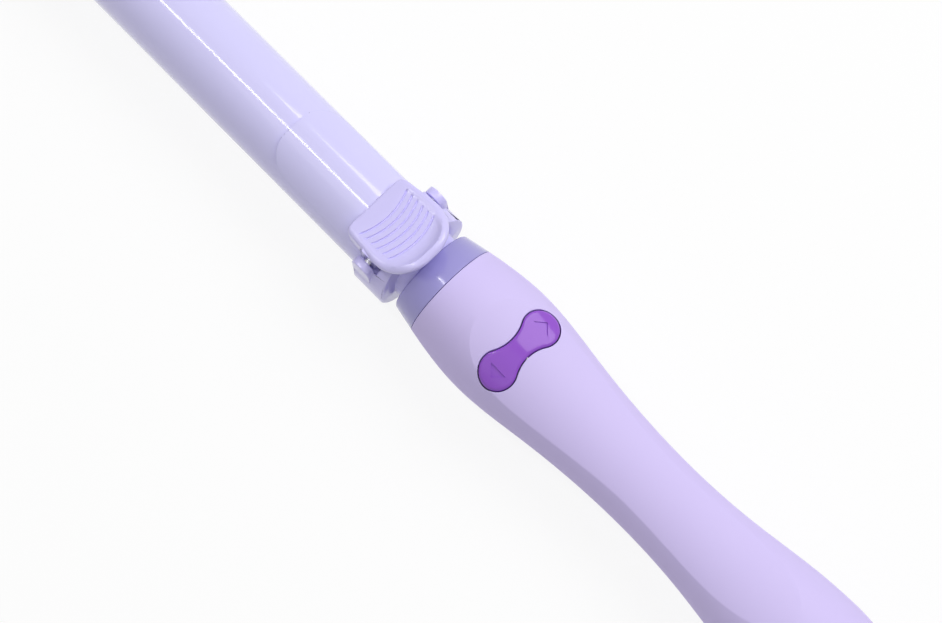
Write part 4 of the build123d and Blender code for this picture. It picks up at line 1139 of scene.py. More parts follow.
@dataclass
class TurningBase:
    """Collar between handle and barrel, with the ears that carry the clamp's hinge."""

    rear: float = 3.4
    front: float = 17.2
    radius: float = 18.9
    chamfer: float = 1.2
    neck: float = 13.0
    neck_depth: float = 1.2
    socket_start: float = 11.0
    socket: float = 15.905
    shaft: float = 8.0
    boss: float = 14.645
    boss_end: float = 22.0
    boss_bore: float = 11.2
    flat: float = 16.0
    slant: float = 8.0
    pocket_rear: float = 9.4
    pocket_floor: float = 9.26
    ear_in: float = 15.3
    ear_out: float = 18.2
    ear_radius: float = 3.9
    ear_foot: float = 2.0
    spoon_room: float = 16.175
    spring_x: float = 7.4
    spring_floor: float = 9.5
    spring_room: float = 2.7
    pivot: tuple[float, float] = (14.2, 12.4)
    sides: int = 144
    fit: float = 0.03
    hub_length: float = 130.0
    room_length: float = 6.0
    past: float = 1.0
    far: float = 60.0

    def _collar(self, bench: Bench) -> bpy.types.Object:
        """Turned collar, neck and boss.

        Args:
            bench: Where it is made.

        Returns:
            The collar.
        """
        edge = arc((self.rear + self.chamfer, self.radius - self.chamfer), self.chamfer, 180, 90, 6)
        profile = [(-self.neck_depth, self.shaft), (-self.neck_depth, self.neck), (self.rear, self.neck)]
        profile += [*edge, (self.front, self.radius), (self.front, self.socket)]
        profile += [(self.socket_start, self.socket), (self.socket_start, self.boss)]
        profile += [(self.boss_end, self.boss), (self.boss_end, self.boss_bore)]
        profile += [(self.socket_start, self.boss_bore), (self.socket_start, self.shaft)]
        return bench.spun("turning_base", profile, self.sides)

    def _slant(self, bench: Bench) -> bpy.types.Object:
        """Tool that slants the upper rear face of the collar.

        Args:
            bench: Where it is made.

        Returns:
            The tool.
        """
        lean = math.tan(math.radians(self.slant)) * self.far
        outline = [(self.rear, 0.0), (self.rear + lean, self.far), (-self.far, self.far), (-self.far, 0.0)]
        wedge = bench.prism("slant", outline, self.far)
        hub = bench.rod("hub", Way.ALONG, (-self.far - self.past, 0, 0), self.hub_length, self.neck)
        return bench.combine(wedge, [hub], "DIFFERENCE", close=True)

    def _ear(self, bench: Bench) -> bpy.types.Object:
        """Ear on the left, rounded over the hinge.

        Args:
            bench: Where it is made.

        Returns:
            The ear.
        """
        x, z = self.pivot
        half = self.ear_radius
        outline = [(x + half, self.ear_foot), *arc((x, z), half, 0, 180, 28), (x - half, self.ear_foot)]
        ear = bench.prism("ear", outline, self.ear_out - self.ear_in, self.ear_in)
        depth = self.front - self.socket_start
        socket = bench.rod("socket", Way.ALONG, (self.socket_start, 0, 0), depth, self.socket)
        room = bench.rod("spoon_room", Way.ALONG, (self.front, 0, 0), self.room_length, self.spoon_room)
        return bench.combine(ear, [socket, room], "DIFFERENCE", close=True)

    def build(self, bench: Bench) -> list[Piece]:
        """Make the base.

        Args:
            bench: Where it is made.

        Returns:
            The base, alone in a list.
        """
        shape = self._collar(bench)
        bench.combine(shape, [self._slant(bench)], "DIFFERENCE", close=True)
        half = self.ear_in
        corner = (self.front + self.past, half, self.far)
        lever_room = bench.box("lever_room", (self.rear - self.past, -half, self.flat), corner)
        clamp_room = bench.box("clamp_room", (self.pocket_rear, -half, self.pocket_floor), corner)
        core = bench.rod("core", Way.ALONG, (-self.far, 0, 0), 2 * self.far, self.socket - self.fit)
        bench.combine(clamp_room, [core], "DIFFERENCE", close=True)
        bench.combine(shape, [lever_room, clamp_room], "DIFFERENCE", close=True)
        ear = self._ear(bench)
        bench.combine(shape, [bench.mirrored(ear), ear], "UNION", close=True)
        floor = (self.spring_x, 0, self.spring_floor)
        pocket = bench.rod("pocket", Way.UP, floor, self.far, self.spring_room)
        holes = [bench.cad_copy(node) for node in ("hinge_pins", "barrel_screws", "spindle_screws")]
        bench.combine(shape, [pocket, *holes], "DIFFERENCE", close=True)
        return [Piece(bench.soften(shape, width=0.35), Body.BARREL, "barrel_base", Finishes.LEVER)]


@dataclass
class Clamp:
    """Spoon that holds the hair, and the thumb lever on it."""

    seat: float = 17.075
    sheet: float = 0.9
    spoon_tail: float = 17.8
    spoon_tip: float = 64.0
    spoon_half: float = 14.3
    spoon_corner: float = 9.5
    front: float = 26.4
    front_half: float = 12.9
    front_corner: float = 2.5
    rear: float = -1.8
    rear_half: float = 15.6
    rear_corner: float = 14.0
    front_height: float = 18.2
    slope: float = 0.2
    thickness: float = 2.8
    rim_height: float = 26.0
    rim_run: float = 7.5
    rim_thickness: float = 3.2
    rim_heel: float = 1.0
    rim_spread: float = 4.0
    skirt_rear: float = 18.4
    skirt_low: float = 10.9
    edge: float = 1.35
    edge_run: float = 2.1
    edges_thick: float = 2.05
    under_edge: float = 0.5
    under_point: float = 0.3
    crest_run: float = 2.5
    crest_drop: float = 1.7
    wrap_run: float = 8.0
    front_edge: float = 0.7
    border: float = 1.5
    border_run: float = 2.2
    dish: float = 0.35
    dish_front: float = 5.5
    grooves: int = 6
    groove_first: float = 19.1
    groove_pitch: float = 2.57
    groove_bow: float = 24.0
    groove_half: float = 10.9
    groove_half_step: float = 0.1
    groove_width: float = 0.8
    groove_depth: float = 0.6
    groove_end: float = 0.6
    groove_ahead: tuple[float, float] = (1.2, 2.6)
    bow_in: float = 5.0
    bow_out: float = 5.2
    bow_margin: float = 3.0
    cheek_in: float = 13.0
    cheek_out: float = 14.2
    cheek_root: float = 1.0
    knuckle: float = 2.9
    pin: float = 1.3
    pin_reach: float = 20.0
    skirt_step: float = 0.001
    skirt_gap: float = 0.05
    pivot: tuple[float, float] = (14.2, 12.4)
    columns: int = 60

    def spoon(self, bench: Bench) -> Piece:
        """Curved sheet with a rounded tip.

        Args:
            bench: Where it is made.

        Returns:
            The piece.
        """
        turn_in = self.spoon_tip - self.spoon_corner
        plan = [(x, self.spoon_half) for x in spread(self.spoon_tail, turn_in, 10)[:-1]]
        plan += arc((turn_in, self.spoon_half - self.spoon_corner), self.spoon_corner, 90, 0, 24)
        grid = []
        for x, half in plan:
            reach = math.asin(half / self.seat)
            angles = spread(-reach, reach, self.columns)
            row = [bench.place.spot(x, self.seat * math.sin(a), self.seat * math.cos(a)) for a in angles]
            grid.append(row)
        shape = bench.thicken(bench.patch("hair_clamp", grid), self.sheet, offset=-1)
        bench.combine(shape, [bench.cad_copy("lever_rivets")], "DIFFERENCE")
        return Piece(bench.soften(shape, width=0.22), Body.CLAMP, "clamp_spoon", Finishes.BARREL)

    def _line(self, x: float) -> float:
        """Height of the lever's straight upper face at a station."""
        return self.front_height + (self.front - x) * self.slope

    def _inward(self, x: float, y: float) -> float:
        """Distance from the lever's rounded rear outline.

        Args:
            x: Station.
            y: Distance from the middle.

        Returns:
            The distance.
        """
        ahead = self.rear + self.rear_corner - x
        aside = abs(y) - self.rear_half + self.rear_corner
        if ahead <= 0:
            return self.rear_corner
        return self.rear_corner - (math.hypot(ahead, aside) if aside > 0 else ahead)

    def _wrap(self, x: float, at: float) -> float:
        """Share of the rim's height that is left where the rim has bent forward to a station."""
        return eased(portion(self.wrap_run - (x - at), self.wrap_run))

    def _top(self, x: float, y: float = 0.0) -> float:
        """Height of the lever's upper face, whose rim follows the rear outline.

        Args:
            x: Station.
            y: Distance from the middle.

        Returns:
            The height.
        """
        rise = self.rear + self.rim_run
        crest = self.rear + self.crest_run
        drop = self.crest_drop * fall(1.0, (crest - x) / self.crest_run)
        at = self.rear + max(self._inward(x, y), 0.0)
        if at >= rise:
            return self._line(x) - drop
        # The rim is an arc that starts along the straight face and climbs to the crest
        run, climb = rise - crest, self.rim_height - self._line(rise)
        norm = math.hypot(1.0, self.slope)
        upright = (self.slope / norm, 1 / norm)
        bend = (run**2 + climb**2) / (2 * (climb * upright[1] - run * upright[0]))
        centre = (rise + upright[0] * bend, self._line(rise) + upright[1] * bend)
        height = centre[1] - math.sqrt(max(bend**2 - (max(at, crest) - centre[0]) ** 2, 0.0))
        return self._line(x) + (height - self._line(at)) * self._wrap(x, at) - drop

    def _under(self, x: float, y: float) -> float:
        """Height of the lever's lower face behind the skirt.

        Args:
            x: Station.
            y: Distance from the middle.

        Returns:
            The height.
        """
        bend = self.rear + self.rim_run - self.rim_heel
        at = self.rear + max(self._inward(x, y), 0.0)
        lip, low = self.rim_height - self.rim_thickness, self._line(bend) - self.thickness
        lift = 0.0
        if at < bend:
            lift = lip + (low - lip) * (at - self.rear) / (bend - self.rear) - self._line(at) + self.thickness
        rounding = fall(self.edge, self.edge - (x - self.rear))
        return self._line(x) - self.thickness + lift * self._wrap(x, at) + rounding

    def _half(self, x: float) -> float:
        """Half width of the lever at a station.

        Args:
            x: Station.

        Returns:
            The half width.
        """
        share = (x - self.rear) / (self.front - self.rear)
        half = self.rear_half + (self.front_half - self.rear_half) * share
        half -= fall(self.rear_corner, self.rear_corner - (x - self.rear))
        return half - fall(self.front_corner, self.front_corner - (self.front - x))

    def _groove(self, u: float, y: float) -> float:
        """Depth of the grooves at a bowed station and a distance from the middle.

        Args:
            u: Station before the bow.
            y: Distance from the middle.

        Returns:
            The depth.
        """
        depth = 0.0
        for i in range(self.grooves):
            near = abs(u - (self.groove_first - i * self.groove_pitch)) / (self.groove_width / 2)
            if near < 1:
                half = self.groove_half - i * self.groove_half_step
                depth = self.groove_depth * math.sqrt(1 - near**2) * portion(half - abs(y), self.groove_end)
        return depth

    def _bow(self, u: float, y: float) -> float:
        """How far a line of the mesh bends towards the tip at a distance from the middle.

        Args:
            u: Station before the bow.
            y: Distance from the middle.

        Returns:
            The distance.
        """
        low = self.groove_first - self.grooves * self.groove_pitch
        fade_in = portion(u - low + self.bow_in, self.bow_in)
        fade_out = portion(self.front - u, self.bow_out)
        fade_side = portion(self._half(u) - abs(y), self.bow_margin)
        return min(fade_in, fade_out) * fade_side * fall(self.groove_bow, abs(y))

    def _dish(self, u: float, y: float) -> float:
        """How far the thumb rest lies below its raised border.

        Args:
            u: Station before the bow.
            y: Distance from the middle.

        Returns:
            The depth.
        """
        inside = portion(self._half(u) - abs(y) - self.border, self.border_run)
        behind = portion(u - self.rear - self.crest_run, self.border_run)
        ahead = portion(self.front - self.dish_front - u, self.border_run)
        return self.dish * behind * ahead * eased(inside)

    def _front_drop(self, x: float) -> float:
        """How far the rounded front edge falls below the top."""
        return fall(self.front_edge, self.front_edge - (self.front - x))

    def _stations(self) -> list[float]:
        """Stations of the lever's mesh, close together at the rim and in each groove.

        Returns:
            The stations, in order.
        """
        crest = self.rear + self.crest_run
        places = [self.rear + self.crest_run * (1 - math.cos(angle)) for angle in quarter(12)]
        places += spread(crest, crest + self.rim_spread, 8)
        half = self.groove_width / 2
        for i in range(self.grooves):
            middle = self.groove_first - i * self.groove_pitch
            places += [middle + half * math.cos(angle) for angle in spread(0.0, math.pi, 8)]
            places.append(middle - self.groove_pitch / 2)
        places += [self.groove_first + step for step in self.groove_ahead]
        places += [self.front - self.front_corner * (1 - math.cos(angle)) for angle in quarter(8)]
        return sorted({round(p, 4) for p in places if self.rear <= p <= self.front})

    def _loop(self, bench: Bench, u: float, skirt: bool) -> list[Vector]:
        """Closed section of the lever, over the top and back underneath.

        Args:
            bench: Where it is made.
            u: Station before the bow.
            skirt: Whether the section reaches down to the spoon.

        Returns:
            Points of the section, in metres.
        """
        half = self._half(u)
        edge = min(self.edge, (self._top(u, half) - self._under(u, half)) / self.edges_thick)
        run = min(self.edge_run, half / 2)
        flat = half - run
        across = spread(-flat, flat, self.columns)
        corner = [(math.cos(angle), math.sin(angle)) for angle in quarter(5)[:-1]]

        def top_at(y: float, lift: float) -> Vector:
            """Point of the upper face, lowered by the rounding of the sides.

            Args:
                y: Distance from the middle.
                lift: Drop from the rounding.

            Returns:
                The point, in metres.
            """
            x = u + self._bow(u, y)
            sunk = lift + self._groove(u, y) + self._dish(u, y) + self._front_drop(x)
            return bench.place.spot(x, y, self._top(x, y) - sunk)

        points = [top_at(-flat - run * c, edge * (1 - s)) for c, s in corner]
        points += [top_at(y, 0.0) for y in across]
        points += [top_at(flat + run * c, edge * (1 - s)) for c, s in reversed(corner)]
        low = edge * self.under_edge
        side = [half - low, half - low * self.under_point, half]
        for y in side[::-1] + across[-2:0:-1] + [-y for y in side]:
            if skirt:
                z = max(math.sqrt(self.seat**2 - y**2), self.skirt_low)
            else:
                z = self._under(u, y) + fall(low, low - max(half - abs(y), 0.0))
            points.append(bench.place.spot(u, y, z))
        return points

    def lever(self, bench: Bench) -> Piece:
        """Thumb lever with bowed grooves, a raised rim, a skirt on the spoon and two cheeks.

        Args:
            bench: Where it is made.

        Returns:
            The piece.
        """
        stations = self._stations()
        loops = [self._loop(bench, u, skirt=False) for u in stations if u < self.skirt_rear]
        loops.append(self._loop(bench, self.skirt_rear - self.skirt_step, skirt=False))
        loops.append(self._loop(bench, self.skirt_rear, skirt=True))
        loops += [self._loop(bench, u, skirt=True) for u in stations if u > self.skirt_rear + self.skirt_gap]
        shape = bench.lofted("thumb_plate", loops)
        x, z = self.pivot
        top = self._top(x) - self.cheek_root
        outline = [(x + self.knuckle, top), (x - self.knuckle, top), *arc((x, z), self.knuckle, 180, 360, 20)]
        cheek = bench.prism("cheek", outline, self.cheek_out - self.cheek_in, self.cheek_in)
        bench.combine(shape, [bench.mirrored(cheek), cheek], "UNION")
        pins = bench.rod("pins", Way.ACROSS, (x, -self.pin_reach, z), 2 * self.pin_reach, self.pin)
        bench.combine(shape, [pins], "DIFFERENCE")
        return Piece(bench.soften(shape, width=0.0), Body.CLAMP, "thumb_lever", Finishes.LEVER)

    def build(self, bench: Bench) -> list[Piece]:
        """Make both pieces."""
        return [self.spoon(bench), self.lever(bench)]


@dataclass
class Spring:
    """Coil under the thumb lever, which shortens as the lever goes down."""

    x: float = 7.4
    foot: float = 9.5
    keep: float = 0.79

    def build(self, bench: Bench) -> list[Piece]:
        """Make the coil from the CAD node's shape, shaded smoothly.

        Args:
            bench: Where it is made.

        Returns:
            The coil, alone in a list.
        """
        shape = bench.cad_copy("clamp_spring")
        shape.name = "clamp_coil"
        bench.soften(shape, width=0.0)
        foot = bench.place.spot(self.x, 0.0, self.foot)
        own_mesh(shape)
        return [Piece(shape, Body.BARREL, "clamp_spring", Finishes.STEEL)]


@dataclass
class Case:
    """Handle: front ring, the two shells and the end cap."""

    form: HandleForm
    seam: float = -9.7
    seam_gap: float = 0.22
    end: float = -190.0
    tail: float = -199.0
    wall: float = 2.2
    ring_edge: float = 1.0
    spigot: float = 16.0
    spigot_length: float = 4.8
    bearing: float = 12.5
    bearing_front: float = -2.8
    neck_room: float = 13.3
    neck_depth: float = 1.5
    shaft_room: float = 8.6
    screws: tuple[float, ...] = (-60.0, -108.0, -155.0)
    screw_seat: float = -7.0
    well: float = 2.9
    boss: float = 3.9
    hole: float = 1.35
    hole_length: float = 10.0
    hole_start: float = -8.0
    below: float = 40.0
    slope_step: float = 0.5
    cap_round: float = 1.5
    swivel_room: float = 6.4
    sides: int = 160
    rows: int = 120

    def _stations(self) -> list[float]:
        """Stations along the shells."""
        return spread(self.seam - self.seam_gap, self.end, self.rows)

    def ring(self, bench: Bench) -> Piece:
        """Glossy ring at the front of the handle.

        Args:
            bench: Where it is made.

        Returns:
            The piece.
        """
        round_at = self.form.round.at
        edge = self.ring_edge
        front = round_at(-edge)
        profile = [(0.0, self.neck_room), *arc((-edge, front - edge), edge, 0, 90, 8)]
        profile += [(x, round_at(x)) for x in spread(0.0, self.seam, 12)[2:]]
        profile += [(self.seam, self.spigot), (self.seam - self.spigot_length, self.spigot)]
        profile += [(self.seam - self.spigot_length, self.bearing), (self.bearing_front, self.bearing)]
        profile += [(self.bearing_front, self.shaft_room), (-self.neck_depth, self.shaft_room)]
        profile.append((-self.neck_depth, self.neck_room))
        shape = bench.spun("front_ring", profile, self.sides)
        return Piece(bench.soften(shape, width=0.15), Body.HANDLE, "handle_ring", Finishes.COLLAR)

    def _shell(self, bench: Bench, name: str, cut: Callable[[float, float], Section]) -> bpy.types.Object:
        """Half of the case through sections of its outer and inner face.

        Args:
            bench: Where it is made.
            name: Name of the piece.
            cut: Points of a section for a station and a distance inside the surface.

        Returns:
            The half.
        """
        loops = []
        for x in self._stations():
            points = cut(x, 0.0) + list(reversed(cut(x, self.wall)))
            loops.append([bench.place.spot(x, y, z) for y, z in points])
        return bench.lofted(name, loops)

    def front(self, bench: Bench, openings: Sequence[bpy.types.Object]) -> Piece:
        """Front shell with its openings.

        Args:
            bench: Where it is made.
            openings: Tools for the buttons and the light.

        Returns:
            The piece.
        """
        shape = self._shell(bench, "front_case", self.form.upper)
        bench.combine(shape, openings, "DIFFERENCE")
        return Piece(bench.soften(shape, width=0.0), Body.HANDLE, "front_shell", Finishes.HANDLE)

    def back(self, bench: Bench) -> Piece:
        """Back shell with its screw wells.

        Args:
            bench: Where it is made.

        Returns:
            The piece.
        """
        shape = self._shell(bench, "back_case", self.form.lower)
        for x in self.screws:
            low = -self.form.round.at(x) + self.wall / 2
            post = bench.rod("boss", Way.UP, (x, 0, low), -low, self.boss)
            well = bench.rod("well", Way.UP, (x, 0, -self.below), self.below + self.screw_seat, self.well)
            hole = bench.rod("hole", Way.UP, (x, 0, self.hole_start), self.hole_length, self.hole)
            bench.combine(shape, [post], "UNION")
            bench.combine(shape, [well, hole], "DIFFERENCE")
        return Piece(bench.soften(shape, width=0.2), Body.HANDLE, "back_shell", Finishes.HANDLE)

    def cap(self, bench: Bench) -> Piece:
        """Rounded end of the handle.

        Args:
            bench: Where it is made.

        Returns:
            The piece.
        """
        round_at = self.form.round.at
        bend = self.tail + self.cap_round
        profile = [(self.end, self.swivel_room)]
        profile += [(x, round_at(x)) for x in spread(self.end, bend, 16)]
        last = round_at(bend)
        slope = (last - round_at(bend - self.slope_step)) / self.slope_step
        for turn in quarter(8)[1:]:
            x = bend - self.cap_round * math.sin(turn)
            profile.append((x, last + slope * (x - bend) - self.cap_round * (1 - math.cos(turn))))
        profile.append((self.tail, self.swivel_room))
        shape = bench.spun("rear_cap", profile, self.sides)
        return Piece(bench.soften(shape, width=0.15), Body.HANDLE, "end_cap", Finishes.HANDLE)

    def build(self, bench: Bench, openings: Sequence[bpy.types.Object]) -> list[Piece]:
        """Make the handle's pieces."""
        return [self.ring(bench), self.front(bench, openings), self.back(bench), self.cap(bench)]


@dataclass
class CordInlet:
    """Turning inlet for the cord."""

    end: float = -208.0
    bore: float = 3.4
    tip: float = 5.0
    tip_round: float = 0.8
    shoulder: float = -200.0
    radius: float = 6.3
    flange_rear: float = -195.7
    flange: float = 7.9
    flange_front: float = -193.5
    stub: float = -189.5
    sides: int = 72

    def build(self, bench: Bench) -> list[Piece]:
        """Make the inlet.

        Args:
            bench: Where it is made.

        Returns:
            The inlet, alone in a list.
        """
        rim = arc((self.end + self.tip_round, self.tip - self.tip_round), self.tip_round, 180, 90, 5)
        profile = [(self.end, self.bore), *rim, (self.shoulder, self.radius)]
        profile += [(self.flange_rear, self.radius), (self.flange_rear, self.flange)]
        profile += [(self.flange_front, self.flange), (self.flange_front, self.tip)]
        profile += [(self.stub, self.tip), (self.stub, self.bore)]
        shape = bench.spun("cord_inlet", profile, self.sides)
        return [Piece(bench.soften(shape, width=0.15), Body.SWIVEL, "cord_swivel", Finishes.DARK)]


@dataclass
class Buttons:
    """Rocker, power button and light in the front face."""

    form: HandleForm
    rocker_x: float = -41.6
    spacing: float = 19.7
    lobe: float = 6.25
    waist: float = 3.7
    gap: float = 0.35
    proud: float = 0.5
    skirt: float = 11.5
    edge: float = 0.9
    rim: float = 0.3
    inmost: float = -3.5
    squeezes: tuple[float, ...] = (0.8, 0.6, 0.4, 0.2, 0.04)
    arrow_apex: float = 3.05
    arrow_base: float = -0.2
    arrow_depth: float = 0.4
    arrow_floor: tuple[float, float] = (7.5, 17.5)
    power_x: float = -176.0
    power: float = 4.5
    power_gap: float = 0.3
    power_proud: float = 0.6
    power_low: float = 15.2
    power_inmost: float = -4.4
    light_x: float = -166.5
    light: float = 1.25
    light_proud: float = 0.5
    light_low: float = 14.6
    light_fit: float = 0.02
    below: float = -1.0
    sky: float = 40.0

    def _rocker_plan(self, grow: float) -> Section:
        """Outline of the rocker, two lobes and a waist, grown all round.

        Args:
            grow: Growth outwards.

        Returns:
            Points (x, y).
        """
        lobe, waist, half = self.lobe + grow, self.waist + grow, self.spacing / 2
        side = (waist**2 + half**2 - lobe**2) / (2 * (lobe - waist))
        bend = math.degrees(math.atan2(half, waist + side))
        outline = arc((0.0, half), lobe, -bend, 180 + bend, 64)
        outline += arc((-waist - side, 0.0), side, bend, -bend, 34)[1:-1]
        outline += [(-x, -y) for x, y in outline]
        return [(x + self.rocker_x, y) for x, y in outline]

    def _squeezed(self, share: float) -> Section:
        """Innermost outline of the rocker, drawn in towards its middle line by a share.

        Args:
            share: Share of the width that is kept.

        Returns:
            Points (x, y).
        """
        half = self.spacing / 2
        points = []
        for x, y in self._rocker_plan(self.inmost):
            middle = math.copysign(min(abs(y), half), y)
            points.append((self.rocker_x + (x - self.rocker_x) * share, middle + (y - middle) * share))
        return points

    def _power_plan(self, grow: float) -> Section:
        """Outline of the power button, grown all round."""
        return arc((self.power_x, 0.0), self.power + grow, 0, 360, 96)[:-1]

    def _keycap(
        self,
        bench: Bench,
        name: str,
        low: float,
        proud: float,
        plan: Plan,
        inner: list[Section],
    ) -> bpy.types.Object:
        """Key that follows the handle's face and has a rounded rim.

        Args:
            bench: Where it is made.
            name: Name of the key.
            low: Height of its lower end.
            proud: How far it stands out of the face.
            plan: Outline for a growth all round.
            inner: Further outlines towards the middle.

        Returns:
            The key.
        """
        loops = [[bench.place.spot(x, y, low) for x, y in plan(0.0)]]
        rounds = [(plan(-self.edge * (1 - math.cos(a))), self.edge * (1 - math.sin(a))) for a in quarter(6)]
        for outline, drop in rounds + [(outline, 0.0) for outline in inner]:
            loops.append([bench.place.spot(x, y, self.form.top(x, y, -proud) - drop) for x, y in outline])
        return bench.lofted(name, loops)

    def _room(self, bench: Bench, name: str, gap: float, plan: Plan) -> bpy.types.Object:
        """Tool for an opening in the face, flared so that the opening's edge is rounded.

        Args:
            bench: Where it is made.
            name: Name of the tool.
            gap: Space around the button.
            plan: Outline for a growth all round.

        Returns:
            The tool.
        """
        loops = [[bench.place.spot(x, y, self.below) for x, y in plan(gap)]]
        for a in quarter(5):
            outline, drop = plan(gap + self.rim * (1 - math.cos(a))), self.rim * (1 - math.sin(a))
            loops.append([bench.place.spot(x, y, self.form.top(x, y) - drop) for x, y in outline])
        loops.append([bench.place.spot(x, y, self.sky) for x, y in plan(gap + self.rim)])
        return bench.lofted(name, loops)

    def _under_face(
        self, bench: Bench, inset: float, x: float, half: Sequence[float], low: float
    ) -> bpy.types.Object:
        """Body with the handle's face as its top, around a station.

        Args:
            bench: Where it is made.
            inset: Distance inside the face.
            x: Station of its middle.
            half: Half its length and half its width.
            low: Height of its floor.

        Returns:
            The body.
        """
        length, width = half
        columns = spread(-width, width, 84)
        grid = []
        for at in spread(x - length, x + length, 44):
            grid.append([bench.place.spot(at, y, self.form.top(at, y, inset)) for y in columns])
        return bench.drop_to(bench.patch("under_face", grid), low)

    def _arrow(self, bench: Bench, side: int) -> bpy.types.Object:
        """Tool for the sunk arrow on one lobe.

        Args:
            bench: Where it is made.
            side: 1 for the lobe on the left, -1 for the one on the right.

        Returns:
            The tool.
        """
        half = self.arrow_apex - self.arrow_base
        middle = side * self.spacing / 2
        corners = [(0.0, self.arrow_apex), (-half, self.arrow_base), (half, self.arrow_base)]
        plan = [(x + self.rocker_x, middle + side * y) for x, y in corners]
        column = bench.column("arrow", plan, self.skirt, self.sky)
        inset = self.arrow_depth - self.proud
        floor = self._under_face(bench, inset, self.rocker_x, self.arrow_floor, 0.0)
        return bench.combine(column, [floor], "DIFFERENCE")

    def rocker(self, bench: Bench) -> Piece:
        """Rocker with a rounded rim and two sunk arrows.

        Args:
            bench: Where it is made.

        Returns:
            The piece.
        """
        inner = [self._rocker_plan(grow) for grow in spread(-self.edge, self.inmost, 8)[1:]]
        inner += [self._squeezed(share) for share in self.squeezes]
        shape = self._keycap(bench, "rocker_key", self.skirt, self.proud, self._rocker_plan, inner)
        bench.combine(shape, [self._arrow(bench, 1), self._arrow(bench, -1)], "DIFFERENCE")
        bench.even_normals(bench.soften(shape, width=0.0))
        return Piece(shape, Body.ROCKER, "rocker_button", Finishes.ROCKER)

    def power_key(self, bench: Bench) -> Piece:
        """Round power button, level with the swell of the handle's end.

        Args:
            bench: Where it is made.

        Returns:
            The piece.
        """
        inner = [self._power_plan(grow) for grow in spread(-self.edge, self.power_inmost, 7)[1:]]
        shape = self._keycap(bench, "power_key", self.power_low, self.power_proud, self._power_plan, inner)
        return Piece(bench.soften(shape, width=0.0), Body.POWER, "power_button", Finishes.ROCKER)

    def lens(self, bench: Bench) -> Piece:
        """Small domed lens.

        Args:
            bench: Where it is made.

        Returns:
            The piece.
        """
        surface = self.form.top(self.light_x, 0.0)
        ball = (self.light**2 + self.light_proud**2) / (2 * self.light_proud)
        open_to = math.degrees(math.asin(self.light / ball))
        dome = [(r, z) for z, r in arc((surface + self.light_proud - ball, 0.0), ball, open_to, 0, 10)]
        profile = [(0.0, self.light_low), (self.light - self.light_fit, self.light_low), *dome]
        shape = bench.spun_up("lens_dome", self.light_x, profile)
        return Piece(bench.soften(shape, width=0.0), Body.HANDLE, "light_lens", Finishes.LENS)

    def openings(self, bench: Bench) -> list[bpy.types.Object]:
        """Tools that open the front shell.

        Args:
            bench: Where they are made.

        Returns:
            The tools.
        """
        rocker = self._room(bench, "rocker_room", self.gap, self._rocker_plan)
        power = self._room(bench, "power_room", self.power_gap, self._power_plan)
        light = bench.rod("light_room", Way.UP, (self.light_x, 0, self.below), self.sky, self.light)
        return [rocker, power, light]

    def build(self, bench: Bench) -> list[Piece]:
        """Make the three pieces."""
        return [self.rocker(bench), self.power_key(bench), self.lens(bench)]


@dataclass(frozen=True)
class Light:
    """A rectangular lamp that faces the iron."""

    name: str
    direction: tuple[float, float, float]
    distance: float
    size: tuple[float, float]
    power: float
    along: tuple[float, float] = (0.0, 1.0)


